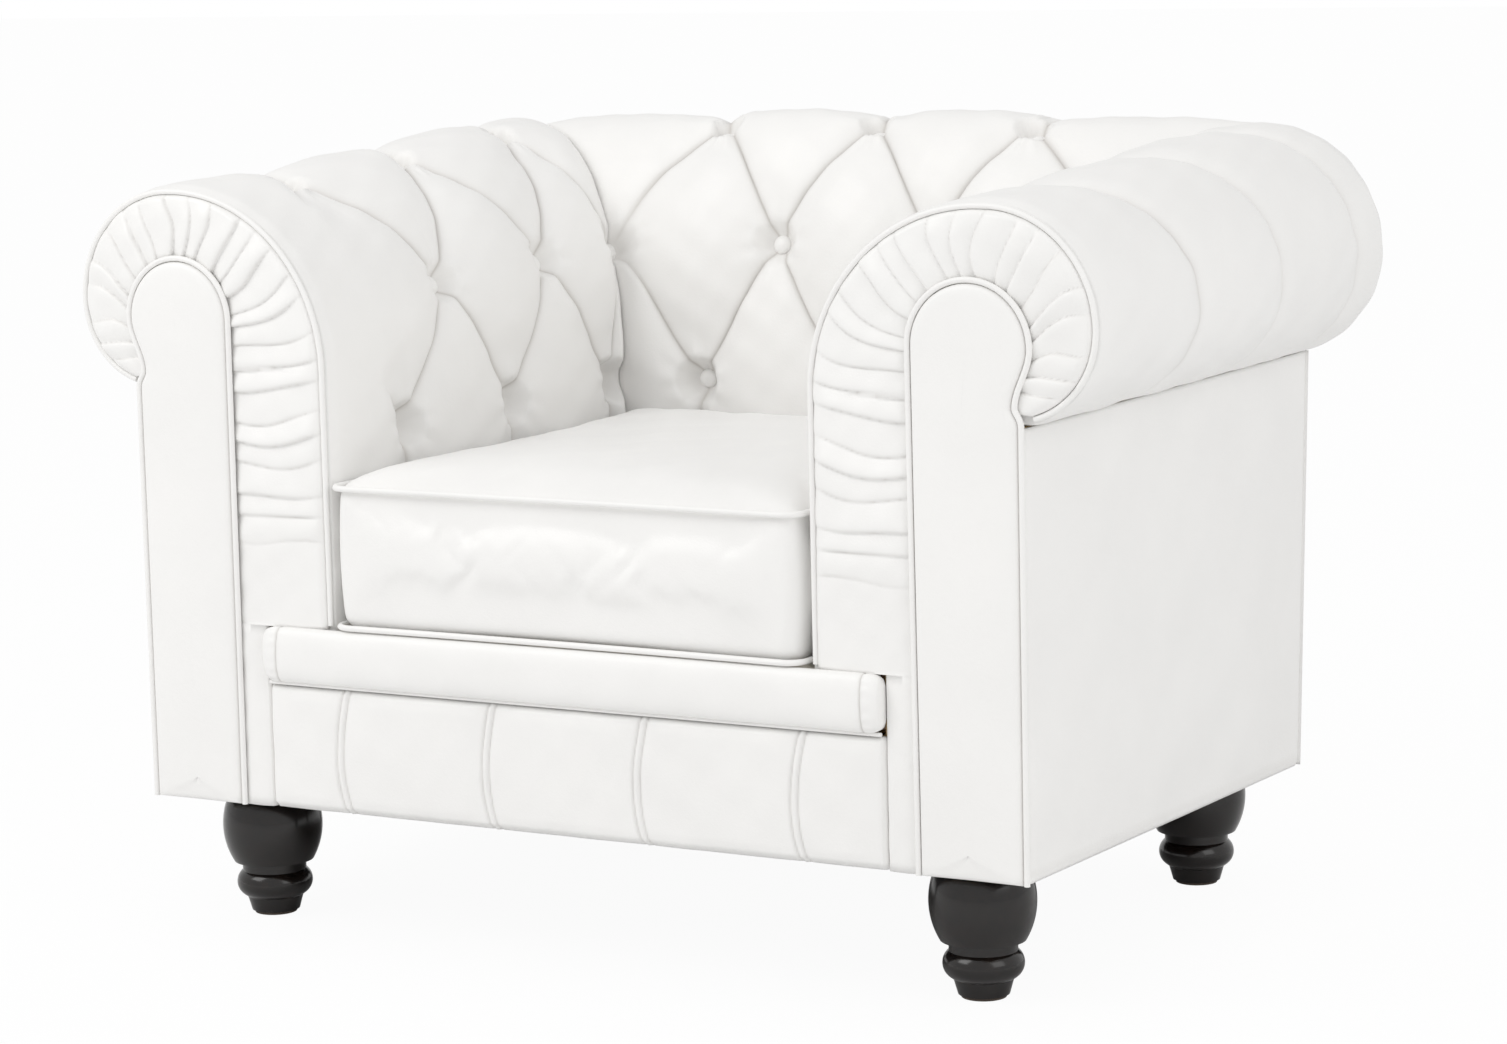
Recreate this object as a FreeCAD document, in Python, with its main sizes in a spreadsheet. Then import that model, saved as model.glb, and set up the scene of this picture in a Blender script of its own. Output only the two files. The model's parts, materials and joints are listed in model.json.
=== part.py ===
import FreeCAD, Part
import math
import os

import Sketcher
from FreeCAD import Placement, Rotation, Vector

# Chesterfield armchair: a hardwood frame, sprung seat, deep buttoned arms and back,
# a loose seat cushion and four turned feet. Millimetres, +Z up, the front towards -Y.
# Left and right are the sitter's, so left is +X. Depths are counted from the front
# plane of the arm facings, and every piece is then moved back by half the whole depth.

os.makedirs("parts", exist_ok=True)
doc = FreeCAD.newDocument("chesterfield_armchair")
sheet = doc.addObject("Spreadsheet::Sheet", "Sizes")
pieces = []


class Size:
    """A length with its number and the sheet expression that gives it."""

    def __init__(self, value, text):
        self.value = value
        self.text = text

    def join(self, sign, other, value):
        text = other.text if isinstance(other, Size) else str(other)
        return Size(value, f"({self.text} {sign} {text})")

    def __add__(self, other):
        return self.join("+", other, self.value + number(other))

    def __sub__(self, other):
        return self.join("-", other, self.value - number(other))

    def __mul__(self, other):
        return self.join("*", other, self.value * number(other))

    def __truediv__(self, other):
        return self.join("/", other, self.value / number(other))

    def __neg__(self):
        return Size(-self.value, f"(-1 * {self.text})")


def number(length):
    return length.value if isinstance(length, Size) else length


def cell(alias, value, meaning):
    """Write one driving dimension on the sheet and read it back."""
    row = cell.row = cell.row + 1
    sheet.set(f"A{row}", meaning)
    sheet.set(f"B{row}", str(value))
    sheet.setAlias(f"B{row}", alias)
    sheet.recompute()
    return Size(float(sheet.get(alias)), f"Sizes.{alias}")


cell.row = 0

# Driving dimensions
gap = cell("gap", 0.3, "running clearance between neighbours")
seat_half = cell("seat_half", 262.5, "half the width between the arm pads")
seat_depth = cell("seat_depth", 575, "front plane to the face of the back pad")
arm_reach = cell("arm_reach", 294, "face of an arm pad to the outside of its roll")
back_reach = cell("back_reach", 223, "face of the back pad to the rear of its roll")
corner_out = cell("corner_out", 264.5, "reach of the mitred corner across the chair")
corner_back = cell("corner_back", 192, "reach of the mitred corner to the rear")
sweep_z = cell("sweep_z", 562, "height where the pads start to sweep outwards")
sweep_rise = cell("sweep_rise", 176, "height of the sweep up to the crest")
roll_radius = cell("roll_radius", 113, "radius of the roll over its outside")
tuck_radius = cell("tuck_radius", 88, "radius of the roll under its outside")
arm_rise = cell("arm_rise", 32, "how far the arm crest climbs to the back corner")
back_rise = cell("back_rise", 40, "how far the back crest stands above the arm front")
pad_bottom = cell("pad_bottom", 257, "height of the lower edge of the pads")
pad_thick = cell("pad_thick", 70, "thickness of the arm pads at their face")
fold_depth = cell("fold_depth", 22, "depth of the folds between the buttons")
button_depth = cell("button_depth", 34, "depth of a button under the puffs")
edge_dip = cell("edge_dip", 3, "how far the front edge of a pad lies under its puffs")
button_radius = cell("button_radius", 10, "radius of a covered button")
button_height = cell("button_height", 6, "height of a covered button")
first_button = cell("first_button", 165, "first button of an arm behind the front plane")
last_button = cell("last_button", 18, "last free arm button before the face of the back pad")
climb_front = cell("climb_front", 80, "where an arm crest starts to climb behind the front plane")
climb_rear = cell("climb_rear", 55, "where an arm crest stops to climb before the back pad's face")
back_pitch = cell("back_pitch", 91, "half the spacing of the back buttons")
row_low = cell("row_low", 492, "height of the lowest button row")
row_middle = cell("row_middle", 22.5, "angle of the middle row on the sweep, degrees")
row_top = cell("row_top", 78, "angle of the top row on the sweep, degrees")
foot_height = cell("foot_height", 128, "floor to the underside of the frame")
foot_x = cell("foot_x", 399, "foot centre from the middle")
foot_front = cell("foot_front", 83, "front foot centre behind the front plane")
foot_rear_in = cell("foot_rear_in", 36, "rear foot centre before the rear scroll board")
glide_height = cell("glide_height", 3, "thickness of the glide under a foot")
glide_radius = cell("glide_radius", 21, "radius of the glide")
toe_radius = cell("toe_radius", 24, "radius of a foot at its bottom")
flare_radius = cell("flare_radius", 28, "radius of a foot under its bead")
bead_radius = cell("bead_radius", 38, "largest radius of the bead")
bead_z = cell("bead_z", 32, "height of the bead's middle")
bead_half = cell("bead_half", 12, "half the height of the bead")
neck_radius = cell("neck_radius", 32, "radius of the foot's neck")
ball_radius = cell("ball_radius", 50, "largest radius of the foot's ball")
ball_z = cell("ball_z", 91, "height of the ball's middle")
ball_top = cell("ball_top", 40, "radius of the ball at the frame")
bolt_radius = cell("bolt_radius", 4, "radius of a foot bolt")
bolt_low = cell("bolt_low", 60, "height of the lower end of a foot bolt")
bore_gap = cell("bore_gap", 0.2, "clearance round a bolt")
nut_barrel = cell("nut_barrel", 5.5, "outer radius of a tee nut's barrel")
nut_length = cell("nut_length", 12, "length of a tee nut's barrel")
nut_flange = cell("nut_flange", 10, "radius of a tee nut's flange")
nut_plate = cell("nut_plate", 1.5, "thickness of a tee nut's flange")
block_height = cell("block_height", 62, "height of a corner block")
block_width = cell("block_width", 92, "width of a corner block")
block_length = cell("block_length", 66, "length of a corner block along the chair")
front_layer = cell("front_layer", 16, "depth of the facings and bands before the frame")
board_thick = cell("board_thick", 25, "thickness of the scroll boards")
rail_thick = cell("rail_thick", 30, "thickness of the seat rails")
rail_height = cell("rail_height", 122, "height of the seat rails")
liner_thick = cell("liner_thick", 4, "thickness of the hardboard arm liner")
tack_height = cell("tack_height", 40, "height of the tack rails")
under_height = cell("under_height", 30, "height of the rail under a roll")
cross_thick = cell("cross_thick", 24, "thickness of the back's cross rails")
rear_board_back = cell("rear_board_back", 36, "front of the rear scroll board behind the back pad's face")
side_x = cell("side_x", 480, "outside of the side panels from the middle")
skin_thick = cell("skin_thick", 6, "thickness of the padded outside panels")
hem_front = cell("hem_front", 126, "height of the side hem at the front")
hem_rear = cell("hem_rear", 112, "height of the side hem at the rear")
rear_low_back = cell("rear_low_back", 88, "rear panel's hem behind the back pad's face")
rear_lean = cell("rear_lean", 26, "how far the rear panel leans back up to the roll")
back_post_x = cell("back_post_x", 275, "inner side of a back post from the middle")
web_thick = cell("web_thick", 1.5, "thickness of the webbing")
web_width = cell("web_width", 50, "width of a webbing strap")
web_pitch = cell("web_pitch", 90, "spacing of the webbing straps")
tuck_stop = cell("tuck_stop", 74, "angle where the scroll's outline ends under the roll, degrees")
face_inner = cell("face_inner", 374, "inner edge of an arm facing from the middle")
face_radius = cell("face_radius", 57, "radius of the facing's arch")
face_z = cell("face_z", 608, "height of the arch's centre")
face_neck_x = cell("face_neck_x", 471, "outer edge of the facing at its neck")
face_neck_z = cell("face_neck_z", 562, "height of the facing's neck")
welt_radius = cell("welt_radius", 2.8, "radius of the welt cords")
pleat_start = cell("pleat_start", 393, "height where the pleats of the band start")
pleat_pitch = cell("pleat_pitch", 24, "pleat spacing on the straight side")
pleat_valley = cell("pleat_valley", 4, "depth of a pleat")
band_front = cell("band_front", 9, "depth of the band's edge behind the front plane")
band_puff = cell("band_puff", 3, "how far the band puffs out between its edges")
lip_half = cell("lip_half", 339, "half the length of the front roll")
lip_low = cell("lip_low", 256, "underside of the front roll")
lip_high = cell("lip_high", 308, "top of the front roll")
lip_front = cell("lip_front", 5, "how far the front roll stands before the front plane")
lip_round = cell("lip_round", 18, "rounding of the front roll")
border_half = cell("border_half", 336, "half the width of the front border")
border_tuck = cell("border_tuck", 6, "depth of the border's tucks behind the front plane")
border_puff = cell("border_puff", 5, "how far the border puffs between its tucks")
border_pitch = cell("border_pitch", 168, "spacing of the border's tucks")
wire_radius = cell("wire_radius", 1.9, "radius of the spring wire")
bend_radius = cell("bend_radius", 13, "radius of the spring's bends")
bar_half = cell("bar_half", 14, "half the length of the spring's bars")
spring_pitch = cell("spring_pitch", 105, "spacing of the seat springs")
clip_thick = cell("clip_thick", 2, "sheet thickness of a spring clip")
hessian_thick = cell("hessian_thick", 1.5, "thickness of the hessian")
cushion_half = cell("cushion_half", 259.5, "half the width of the cushion")
cushion_front = cell("cushion_front", 2, "how far the cushion stands before the front plane")
cushion_gap = cell("cushion_gap", 1.5, "gap between the cushion and the back pad")
cushion_low = cell("cushion_low", 311, "underside of the cushion")
cushion_high = cell("cushion_high", 450, "upper seam of the cushion")
cushion_crown = cell("cushion_crown", 24, "height of the crown over the upper seam")
cushion_corner = cell("cushion_corner", 26, "corner radius of the cushion")
cushion_pull = cell("cushion_pull", 5, "how far each side pulls in at its middle")
piping_radius = cell("piping_radius", 3, "radius of the cushion's piping")
leather_thick = cell("leather_thick", 2.5, "thickness of the cushion's cover and wadding")
zip_half = cell("zip_half", 200, "half the length of the cushion's zip")
zip_height = cell("zip_height", 14, "height of the cushion's zip")
cover_thick = cell("cover_thick", 1, "thickness of the dust cover")

# Values that several pieces share
crest_z = sweep_z + sweep_rise
roll_z = crest_z - roll_radius
under_z = roll_z - tuck_radius
frame_z = foot_height + gap
rail_top = frame_z + rail_height
frame_front = front_layer + gap
post_back = frame_front + board_thick
liner_x = seat_half + pad_thick + gap
post_x = liner_x + liner_thick + gap
skin_x = side_x - skin_thick
frame_side = skin_x - gap
back_slope = corner_back / corner_out
core_back = seat_depth + pad_thick * back_slope
web_y = core_back + gap
back_frame = web_y + web_thick + gap
whole_rear = seat_depth + back_reach
middle = (whole_rear - lip_front) / 2
wire_z = rail_top + gap + wire_radius
hessian_z = wire_z + wire_radius + gap
deck_z = hessian_z + hessian_thick + gap
cushion_rear = seat_depth - cushion_gap
arm_pitch = (seat_depth - first_button - last_button) / 4
rear_board = seat_depth + rear_board_back
rear_low = seat_depth + rear_low_back
foot_rear = rear_board - foot_rear_in


def bind(obj, name, length):
    """Give a property its number, or tie it to the sheet."""
    if isinstance(length, Size):
        obj.setExpression(name, length.text)
    else:
        setattr(obj, name, length)


def place(obj, x=0, y=0, z=0):
    """Put an object at a point whose depth is counted from the front plane."""
    depth = y - middle if isinstance(y, Size) else -middle + y
    for axis, length in (("x", x), ("y", depth), ("z", z)):
        if isinstance(length, Size):
            obj.setExpression(f"Placement.Base.{axis}", length.text)
        elif length:
            obj.setExpression(f"Placement.Base.{axis}", str(length))


def name_piece(obj, label):
    obj.Label = label
    pieces.append(obj)
    return obj


def box(label, x0, x1, y0, y1, z0, z1):
    """A plain block between three pairs of planes."""
    block = doc.addObject("Part::Box", label + "_box")
    bind(block, "Length", x1 - x0)
    bind(block, "Width", y1 - y0)
    bind(block, "Height", z1 - z0)
    place(block, x0, y0, z0)
    return block


def cylinder(label, radius, x, y, z0, z1):
    """An upright round bar."""
    bar = doc.addObject("Part::Cylinder", label)
    bind(bar, "Radius", radius)
    bind(bar, "Height", z1 - z0)
    place(bar, x, y, z0)
    return bar


def cut(label, base, tool):
    result = doc.addObject("Part::Cut", label)
    result.Base = base
    result.Tool = tool
    return result


def group(label, objects):
    """Several alike solids that share one node."""
    result = doc.addObject("Part::Compound", label)
    result.Links = objects
    return result


def mirrored(source, label):
    """The same piece on the other side of the chair."""
    result = doc.addObject("Part::Mirroring", label)
    result.Source = source
    result.Normal = Vector(1, 0, 0)
    return result


def pair(source, name):
    """A left piece and its mirror image as two nodes."""
    name_piece(source, name + "_left")
    name_piece(mirrored(source, name + "_right_mirror"), name + "_right")


def feature(label, shape):
    """A node whose shape is worked out here from the sheet's sizes."""
    result = doc.addObject("Part::Feature", label + "_shape")
    result.Shape = shape
    result.Placement = Placement(Vector(0, -middle.value, 0), Rotation())
    return result


def start_body(label):
    body = doc.addObject("PartDesign::Body", label + "_body")
    return body


def sketch_on(body, role, outline, circles=()):
    """A closed outline on an origin plane, tied to the sheet.

    Each step is the point where the outline goes next: (x, y) ends a line, and
    (x, y, centre_x, centre_y, turn) ends an arc, where turn is 1 for anticlockwise.
    """
    sketch = body.newObject("Sketcher::SketchObject", body.Name + "_outline")
    plane = next(item for item in body.Origin.OriginFeatures if item.Role == role)
    sketch.AttachmentSupport = [(plane, "")]
    sketch.MapMode = "FlatFace"

    def fix(kind, geometry, point, length):
        index = sketch.addConstraint(Sketcher.Constraint(kind, -1, 1, geometry, point, number(length)))
        if isinstance(length, Size):
            sketch.setExpression(f"Constraints[{index}]", length.text)

    corners = [(number(step[0]), number(step[1])) for step in outline]
    ends = []
    for index, step in enumerate(outline):
        here = corners[index - 1]
        there = corners[index]
        if len(step) == 2:
            line = Part.LineSegment(Vector(here[0], here[1], 0), Vector(there[0], there[1], 0))
            geometry = sketch.addGeometry(line, False)
            ends.append((geometry, 1, 2))
        else:
            centre = Vector(number(step[2]), number(step[3]), 0)
            reach = math.hypot(here[0] - centre.x, here[1] - centre.y)
            angles = [math.atan2(p[1] - centre.y, p[0] - centre.x) for p in (here, there)]
            if step[4] < 0:
                angles.reverse()
            circle = Part.Circle(centre, Vector(0, 0, 1), reach)
            geometry = sketch.addGeometry(Part.ArcOfCircle(circle, angles[0], angles[1]), False)
            ends.append((geometry, 1, 2) if step[4] > 0 else (geometry, 2, 1))
    for index, (geometry, begin, end) in enumerate(ends):
        before = ends[index - 1]
        sketch.addConstraint(Sketcher.Constraint("Coincident", before[0], before[2], geometry, begin))
    for index, (step, (geometry, begin, end)) in enumerate(zip(outline, ends)):
        fix("DistanceX", geometry, end, step[0])
        fix("DistanceY", geometry, end, step[1])
        if len(step) > 2:
            across = abs(corners[index][0] - corners[index - 1][0])
            up = abs(corners[index][1] - corners[index - 1][1])
            if up < across:
                fix("DistanceY", geometry, 3, step[3])
            else:
                fix("DistanceX", geometry, 3, step[2])
    for x, y, radius in circles:
        circle = Part.Circle(Vector(number(x), number(y), 0), Vector(0, 0, 1), number(radius))
        geometry = sketch.addGeometry(circle, False)
        fix("DistanceX", geometry, 3, x)
        fix("DistanceY", geometry, 3, y)
        index = sketch.addConstraint(Sketcher.Constraint("Radius", geometry, number(radius)))
        sketch.setExpression(f"Constraints[{index}]", radius.text)
    return sketch


def pad(label, role, outline, length, circles=(), reverse=False):
    """A body that is one outline, extruded."""
    body = start_body(label)
    sketch = sketch_on(body, role, outline, circles)
    solid = body.newObject("PartDesign::Pad", label + "_pad")
    solid.Profile = sketch
    bind(solid, "Length", length)
    solid.Reversed = reverse
    return body


# Turned feet: one lathe profile, with a blind bore for the bolt
def foot(label, x, y):
    body = start_body(label)
    bore = bolt_radius + bore_gap
    bore_end = bolt_low - bore_gap
    bead_in = (bead_radius * bead_radius - neck_radius * neck_radius - bead_half * bead_half)
    bead_centre = bead_in / ((bead_radius - neck_radius) * 2)
    ball_half = foot_height - ball_z
    ball_in = (ball_radius * ball_radius - ball_top * ball_top - ball_half * ball_half)
    ball_centre = ball_in / ((ball_radius - ball_top) * 2)
    bead_low = bead_z - bead_half
    bead_high = bead_z + bead_half
    outline = [
        (0, glide_height),
        (toe_radius, glide_height),
        (flare_radius, bead_low - glide_height),
        (neck_radius, bead_low),
        (neck_radius, bead_high, bead_centre, bead_z, 1),
        (neck_radius, ball_z * 2 - foot_height),
        (ball_top, ball_z * 2 - foot_height),
        (ball_top, foot_height, ball_centre, ball_z, 1),
        (bore, foot_height),
        (bore, bore_end),
        (0, bore_end),
    ]
    sketch = sketch_on(body, "XZ_Plane", outline)
    turned = body.newObject("PartDesign::Revolution", label + "_turning")
    turned.Profile = sketch
    turned.ReferenceAxis = (sketch, ["V_Axis"])
    turned.Angle = 360
    place(body, x, y)
    return body


name_piece(foot("foot_front_left", foot_x, foot_front), "foot_front_left")
name_piece(foot("foot_front_right", -foot_x, foot_front), "foot_front_right")
name_piece(foot("foot_rear_left", foot_x, foot_rear), "foot_rear_left")
name_piece(foot("foot_rear_right", -foot_x, foot_rear), "foot_rear_right")


# Glides, bolts, tee nuts and the corner blocks that the feet screw into
def both_sides(label, make):
    """One piece at each foot: the left two are made and mirrored."""
    parts = [make(f"{label}_front", foot_front), make(f"{label}_rear", foot_rear)]
    parts += [mirrored(part, part.Name + "_mirror") for part in parts]
    return name_piece(group(label + "_group", parts), label)


block_top = frame_z + block_height
bolt_top = block_top + nut_plate + gap * 2 + bolt_radius


def glide(name, y):
    return cylinder(name, glide_radius, foot_x, y, glide_height * 0, glide_height)


def bolt(name, y):
    return cylinder(name, bolt_radius, foot_x, y, bolt_low, bolt_top)


def tee_nut(name, y):
    nut_z = block_top + gap
    flange = cylinder(name + "_flange", nut_flange, foot_x, y, nut_z, nut_z + nut_plate)
    barrel = cylinder(name + "_barrel", nut_barrel, foot_x, y, nut_z - nut_length, nut_z)
    body = doc.addObject("Part::Fuse", name + "_body")
    body.Base = flange
    body.Tool = barrel
    bore = cylinder(name + "_bore", bolt_radius + bore_gap, foot_x, y, frame_z, bolt_top)
    return cut(name, body, bore)


def corner_block(name, y):
    side = frame_side - rail_thick - gap
    if y is foot_front:
        depths = (post_back + gap, post_back + gap + block_length)
    else:
        depths = (rear_board - gap - block_length, rear_board - gap)
    block = box(name, side - block_width, side, depths[0], depths[1], frame_z, block_top)
    hole = cylinder(name + "_hole", nut_barrel + gap, foot_x, y, foot_height - gap, block_top + gap)
    return cut(name, block, hole)


both_sides("foot_glides", glide)
both_sides("foot_bolts", bolt)
both_sides("tee_nuts", tee_nut)
both_sides("corner_blocks", corner_block)

# Hollow of the pads, where the frame runs: the distance from the pad's face at the
# corner's scale, and the height. The roll's lobe opens above the neck.
face_top = sweep_z - 14
neck_out = pad_thick + 57
tail_out = neck_out + 12
lobe_low = under_z + 36
lobe_side = corner_out - 28
lobe_top = crest_z - 70
core = [
    (pad_thick, pad_bottom),
    (pad_thick, face_top),
    (pad_thick + 40, lobe_top - 28),
    (pad_thick + 90, lobe_top),
    (lobe_side - 24, lobe_top),
    (lobe_side, lobe_top - 28),
    (lobe_side, lobe_low + 28),
    (lobe_side - 24, lobe_low),
    (neck_out, lobe_low),
    (neck_out, under_z),
]


# Scroll boards: plywood cut to the hollow of an arm, at its front and its rear
def board_outline():
    lobe = [(seat_half + out, height) for out, height in core]
    return [
        (post_x, frame_z),
        (frame_side, frame_z),
        (frame_side, under_z - gap),
        (lobe[9][0] - gap, under_z - gap),
        (lobe[8][0] - gap, lobe[8][1] + gap),
        (lobe[7][0] - gap, lobe[7][1] + gap),
        (lobe[6][0] - gap, lobe[6][1] + gap),
        (lobe[5][0] - gap, lobe[5][1] - gap),
        (lobe[4][0] - gap, lobe[4][1] - gap),
        (lobe[3][0] + gap, lobe[3][1] - gap),
        (lobe[2][0] + gap * 2, lobe[2][1] - gap),
        (post_x, face_top),
    ]


for end, depth in (("front", frame_front), ("rear", rear_board)):
    board = pad(f"arm_{end}_board", "XZ_Plane", board_outline(), board_thick, reverse=True)
    place(board, 0, depth)
    pair(board, f"arm_{end}_board")

# Seat rails and the rails and liner of the arms, butted between the scroll boards
span_front = post_back + gap
span_rear = rear_board - gap
rail_half = post_x - gap
name_piece(box("front_rail", -rail_half, rail_half, frame_front, frame_front + rail_thick,
               frame_z, rail_top), "front_rail")
name_piece(box("back_rail", -rail_half, rail_half, rear_board, rear_board + rail_thick,
               frame_z, rail_top), "back_rail")
pair(box("side_rail", frame_side - rail_thick, frame_side, span_front, span_rear,
         frame_z, rail_top), "side_rail")
pair(box("arm_tack_rail", post_x, post_x + rail_thick, span_front, span_rear,
         pad_bottom, pad_bottom + tack_height), "arm_tack_rail")
pair(box("arm_under_rail", seat_half + neck_out - gap - rail_thick, frame_side, span_front, span_rear,
         under_z - gap - under_height, under_z - gap), "arm_under_rail")
pair(box("arm_top_rail", seat_half + neck_out + gap, seat_half + lobe_side - 24, span_front, span_rear,
         lobe_low + gap, lobe_low + under_height + gap), "arm_top_rail")
pair(box("arm_liner", liner_x, liner_x + liner_thick, frame_front, core_back,
         pad_bottom, face_top), "arm_liner")


# Back frame: two shaped posts stand on the back rail and carry three rails and the webbing
def back_outline():
    lobe = [(seat_depth + out * back_slope, height) for out, height in core]
    panel_low = rear_low - skin_thick - gap
    panel_high = panel_low + rear_lean
    return [
        (back_frame, rail_top + gap),
        (panel_low, rail_top + gap),
        (panel_high - gap, under_z - gap),
        (lobe[9][0] - gap, under_z - gap),
        (lobe[8][0] - gap, lobe[8][1] + gap),
        (lobe[7][0] - gap, lobe[7][1] + gap),
        (lobe[6][0] - gap, lobe[6][1] + gap),
        (lobe[5][0] - gap, lobe[5][1] - gap),
        (lobe[4][0] - gap, lobe[4][1] - gap),
        (lobe[3][0] + gap, lobe[3][1] - gap),
        (lobe[2][0] + gap * 4, lobe[2][1] - gap),
        (back_frame, face_top),
    ]


back_post = pad("back_post", "YZ_Plane", back_outline(), board_thick)
place(back_post, back_post_x, 0)
pair(back_post, "back_post")
post_side = back_post_x - gap
cross_back = back_frame + cross_thick
name_piece(group("back_cross_pair", [
    box("back_low_rail", -post_side, post_side, back_frame, cross_back, rail_top + gap,
        pad_bottom + tack_height),
    box("back_mid_rail", -post_side, post_side, back_frame, cross_back, face_top - under_height, face_top),
]), "back_cross_rails")
lobe_in = seat_depth + neck_out * back_slope
lobe_out = seat_depth + (lobe_side - 24) * back_slope
name_piece(box("back_top_rail", -post_side, post_side, lobe_in + gap, lobe_out,
               lobe_low + gap, lobe_low + under_height + gap), "back_top_rail")


def webbing():
    """Upright straps, tacked to the cross rails."""
    low, high = pad_bottom.value, face_top.value
    straps = []
    for index in range(-2, 3):
        corner = Vector(index * web_pitch.value - web_width.value / 2, web_y.value, low)
        straps.append(Part.makeBox(web_width.value, web_thick.value, high - low, corner))
    return Part.makeCompound(straps)


name_piece(feature("back_webbing", webbing()), "back_webbing")


# Sprung seat: sinuous wires held by clips, hessian over them, then the deck pad
def bend(centre, start, turn, height):
    """Half a turn of the spring, from a bar's end to the next bar."""
    radius = bend_radius.value
    points = []
    for quarter in range(3):
        angle = start + turn * quarter * math.pi / 2
        points.append(Vector(centre[0] + radius * math.cos(angle), centre[1] + radius * math.sin(angle), height))
    for first, last, angle in ((0, 1, 0.25), (1, 2, 0.75)):
        around = start + turn * angle * math.pi
        halfway = Vector(centre[0] + radius * math.cos(around), centre[1] + radius * math.sin(around), height)
        yield Part.Arc(points[first], halfway, points[last]).toShape()


def spring(x):
    first_bar = frame_front.value + rail_thick.value / 2
    last_bar = rear_board.value + rail_thick.value / 2
    count = int((last_bar - first_bar) / (2 * bend_radius.value))
    step = 2 * bend_radius.value
    slack = (last_bar - first_bar - count * step) / 2
    height = wire_z.value
    half = bar_half.value
    edges = []
    for index in range(count + 1):
        depth = first_bar + slack + index * step
        side = half if index % 2 == 0 else -half
        edges.append(Part.LineSegment(Vector(x - side, depth, height), Vector(x + side, depth, height)).toShape())
        if index < count:
            turn = 1 if side > 0 else -1
            edges += bend((x + side, depth + bend_radius.value), -math.pi / 2, turn, height)
    path = Part.Wire(edges)
    round_wire = Part.Wire([Part.Circle(Vector(x - half, first_bar + slack, height), Vector(1, 0, 0),
                                        wire_radius.value).toShape()])
    return path.makePipeShell([round_wire], True, False), (first_bar + slack, first_bar + slack + count * step)


springs = [spring(index * spring_pitch.value) for index in range(-2, 3)]
print("spring least gap to itself", round(2 * bend_radius.value - 2 * wire_radius.value, 1))
name_piece(feature("seat_springs", Part.makeCompound([wire for wire, ends in springs])), "seat_springs")


def clip(x, depth):
    """A bent steel clip over the end bar of a spring."""
    half = bar_half.value - 4
    room = wire_radius.value + 0.2
    thick = clip_thick.value
    height = wire_z.value - rail_top.value + room
    outer = Part.makeBox(2 * half, 2 * (room + thick), height + thick,
                         Vector(x - half, depth - room - thick, rail_top.value))
    inner = Part.makeBox(2 * half + 2, 2 * room, height, Vector(x - half - 1, depth - room, rail_top.value))
    return outer.cut(inner)


clips = [clip(index * spring_pitch.value, depth)
         for index, (wire, ends) in zip(range(-2, 3), springs) for depth in ends]
name_piece(feature("spring_clips", Part.makeCompound(clips)), "spring_clips")
deck_half = seat_half - gap
deck_rear = seat_depth - gap
clip_top = wire_z + wire_radius + clip_thick + gap * 2
name_piece(box("seat_hessian", -deck_half, deck_half, frame_front, deck_rear,
               clip_top, clip_top + hessian_thick), "seat_hessian")
name_piece(box("deck_pad", -deck_half, deck_half, frame_front, deck_rear,
               clip_top + hessian_thick + gap, cushion_low - gap), "deck_pad")


# Buttoned pads. A pad is a ruled loft through stations. Each station is the scroll
# section, drawn in parts of its reach, and pressed in along the folds and at the buttons.
top_angle = math.radians(row_top.value)
middle_angle = math.radians(row_middle.value)


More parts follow.
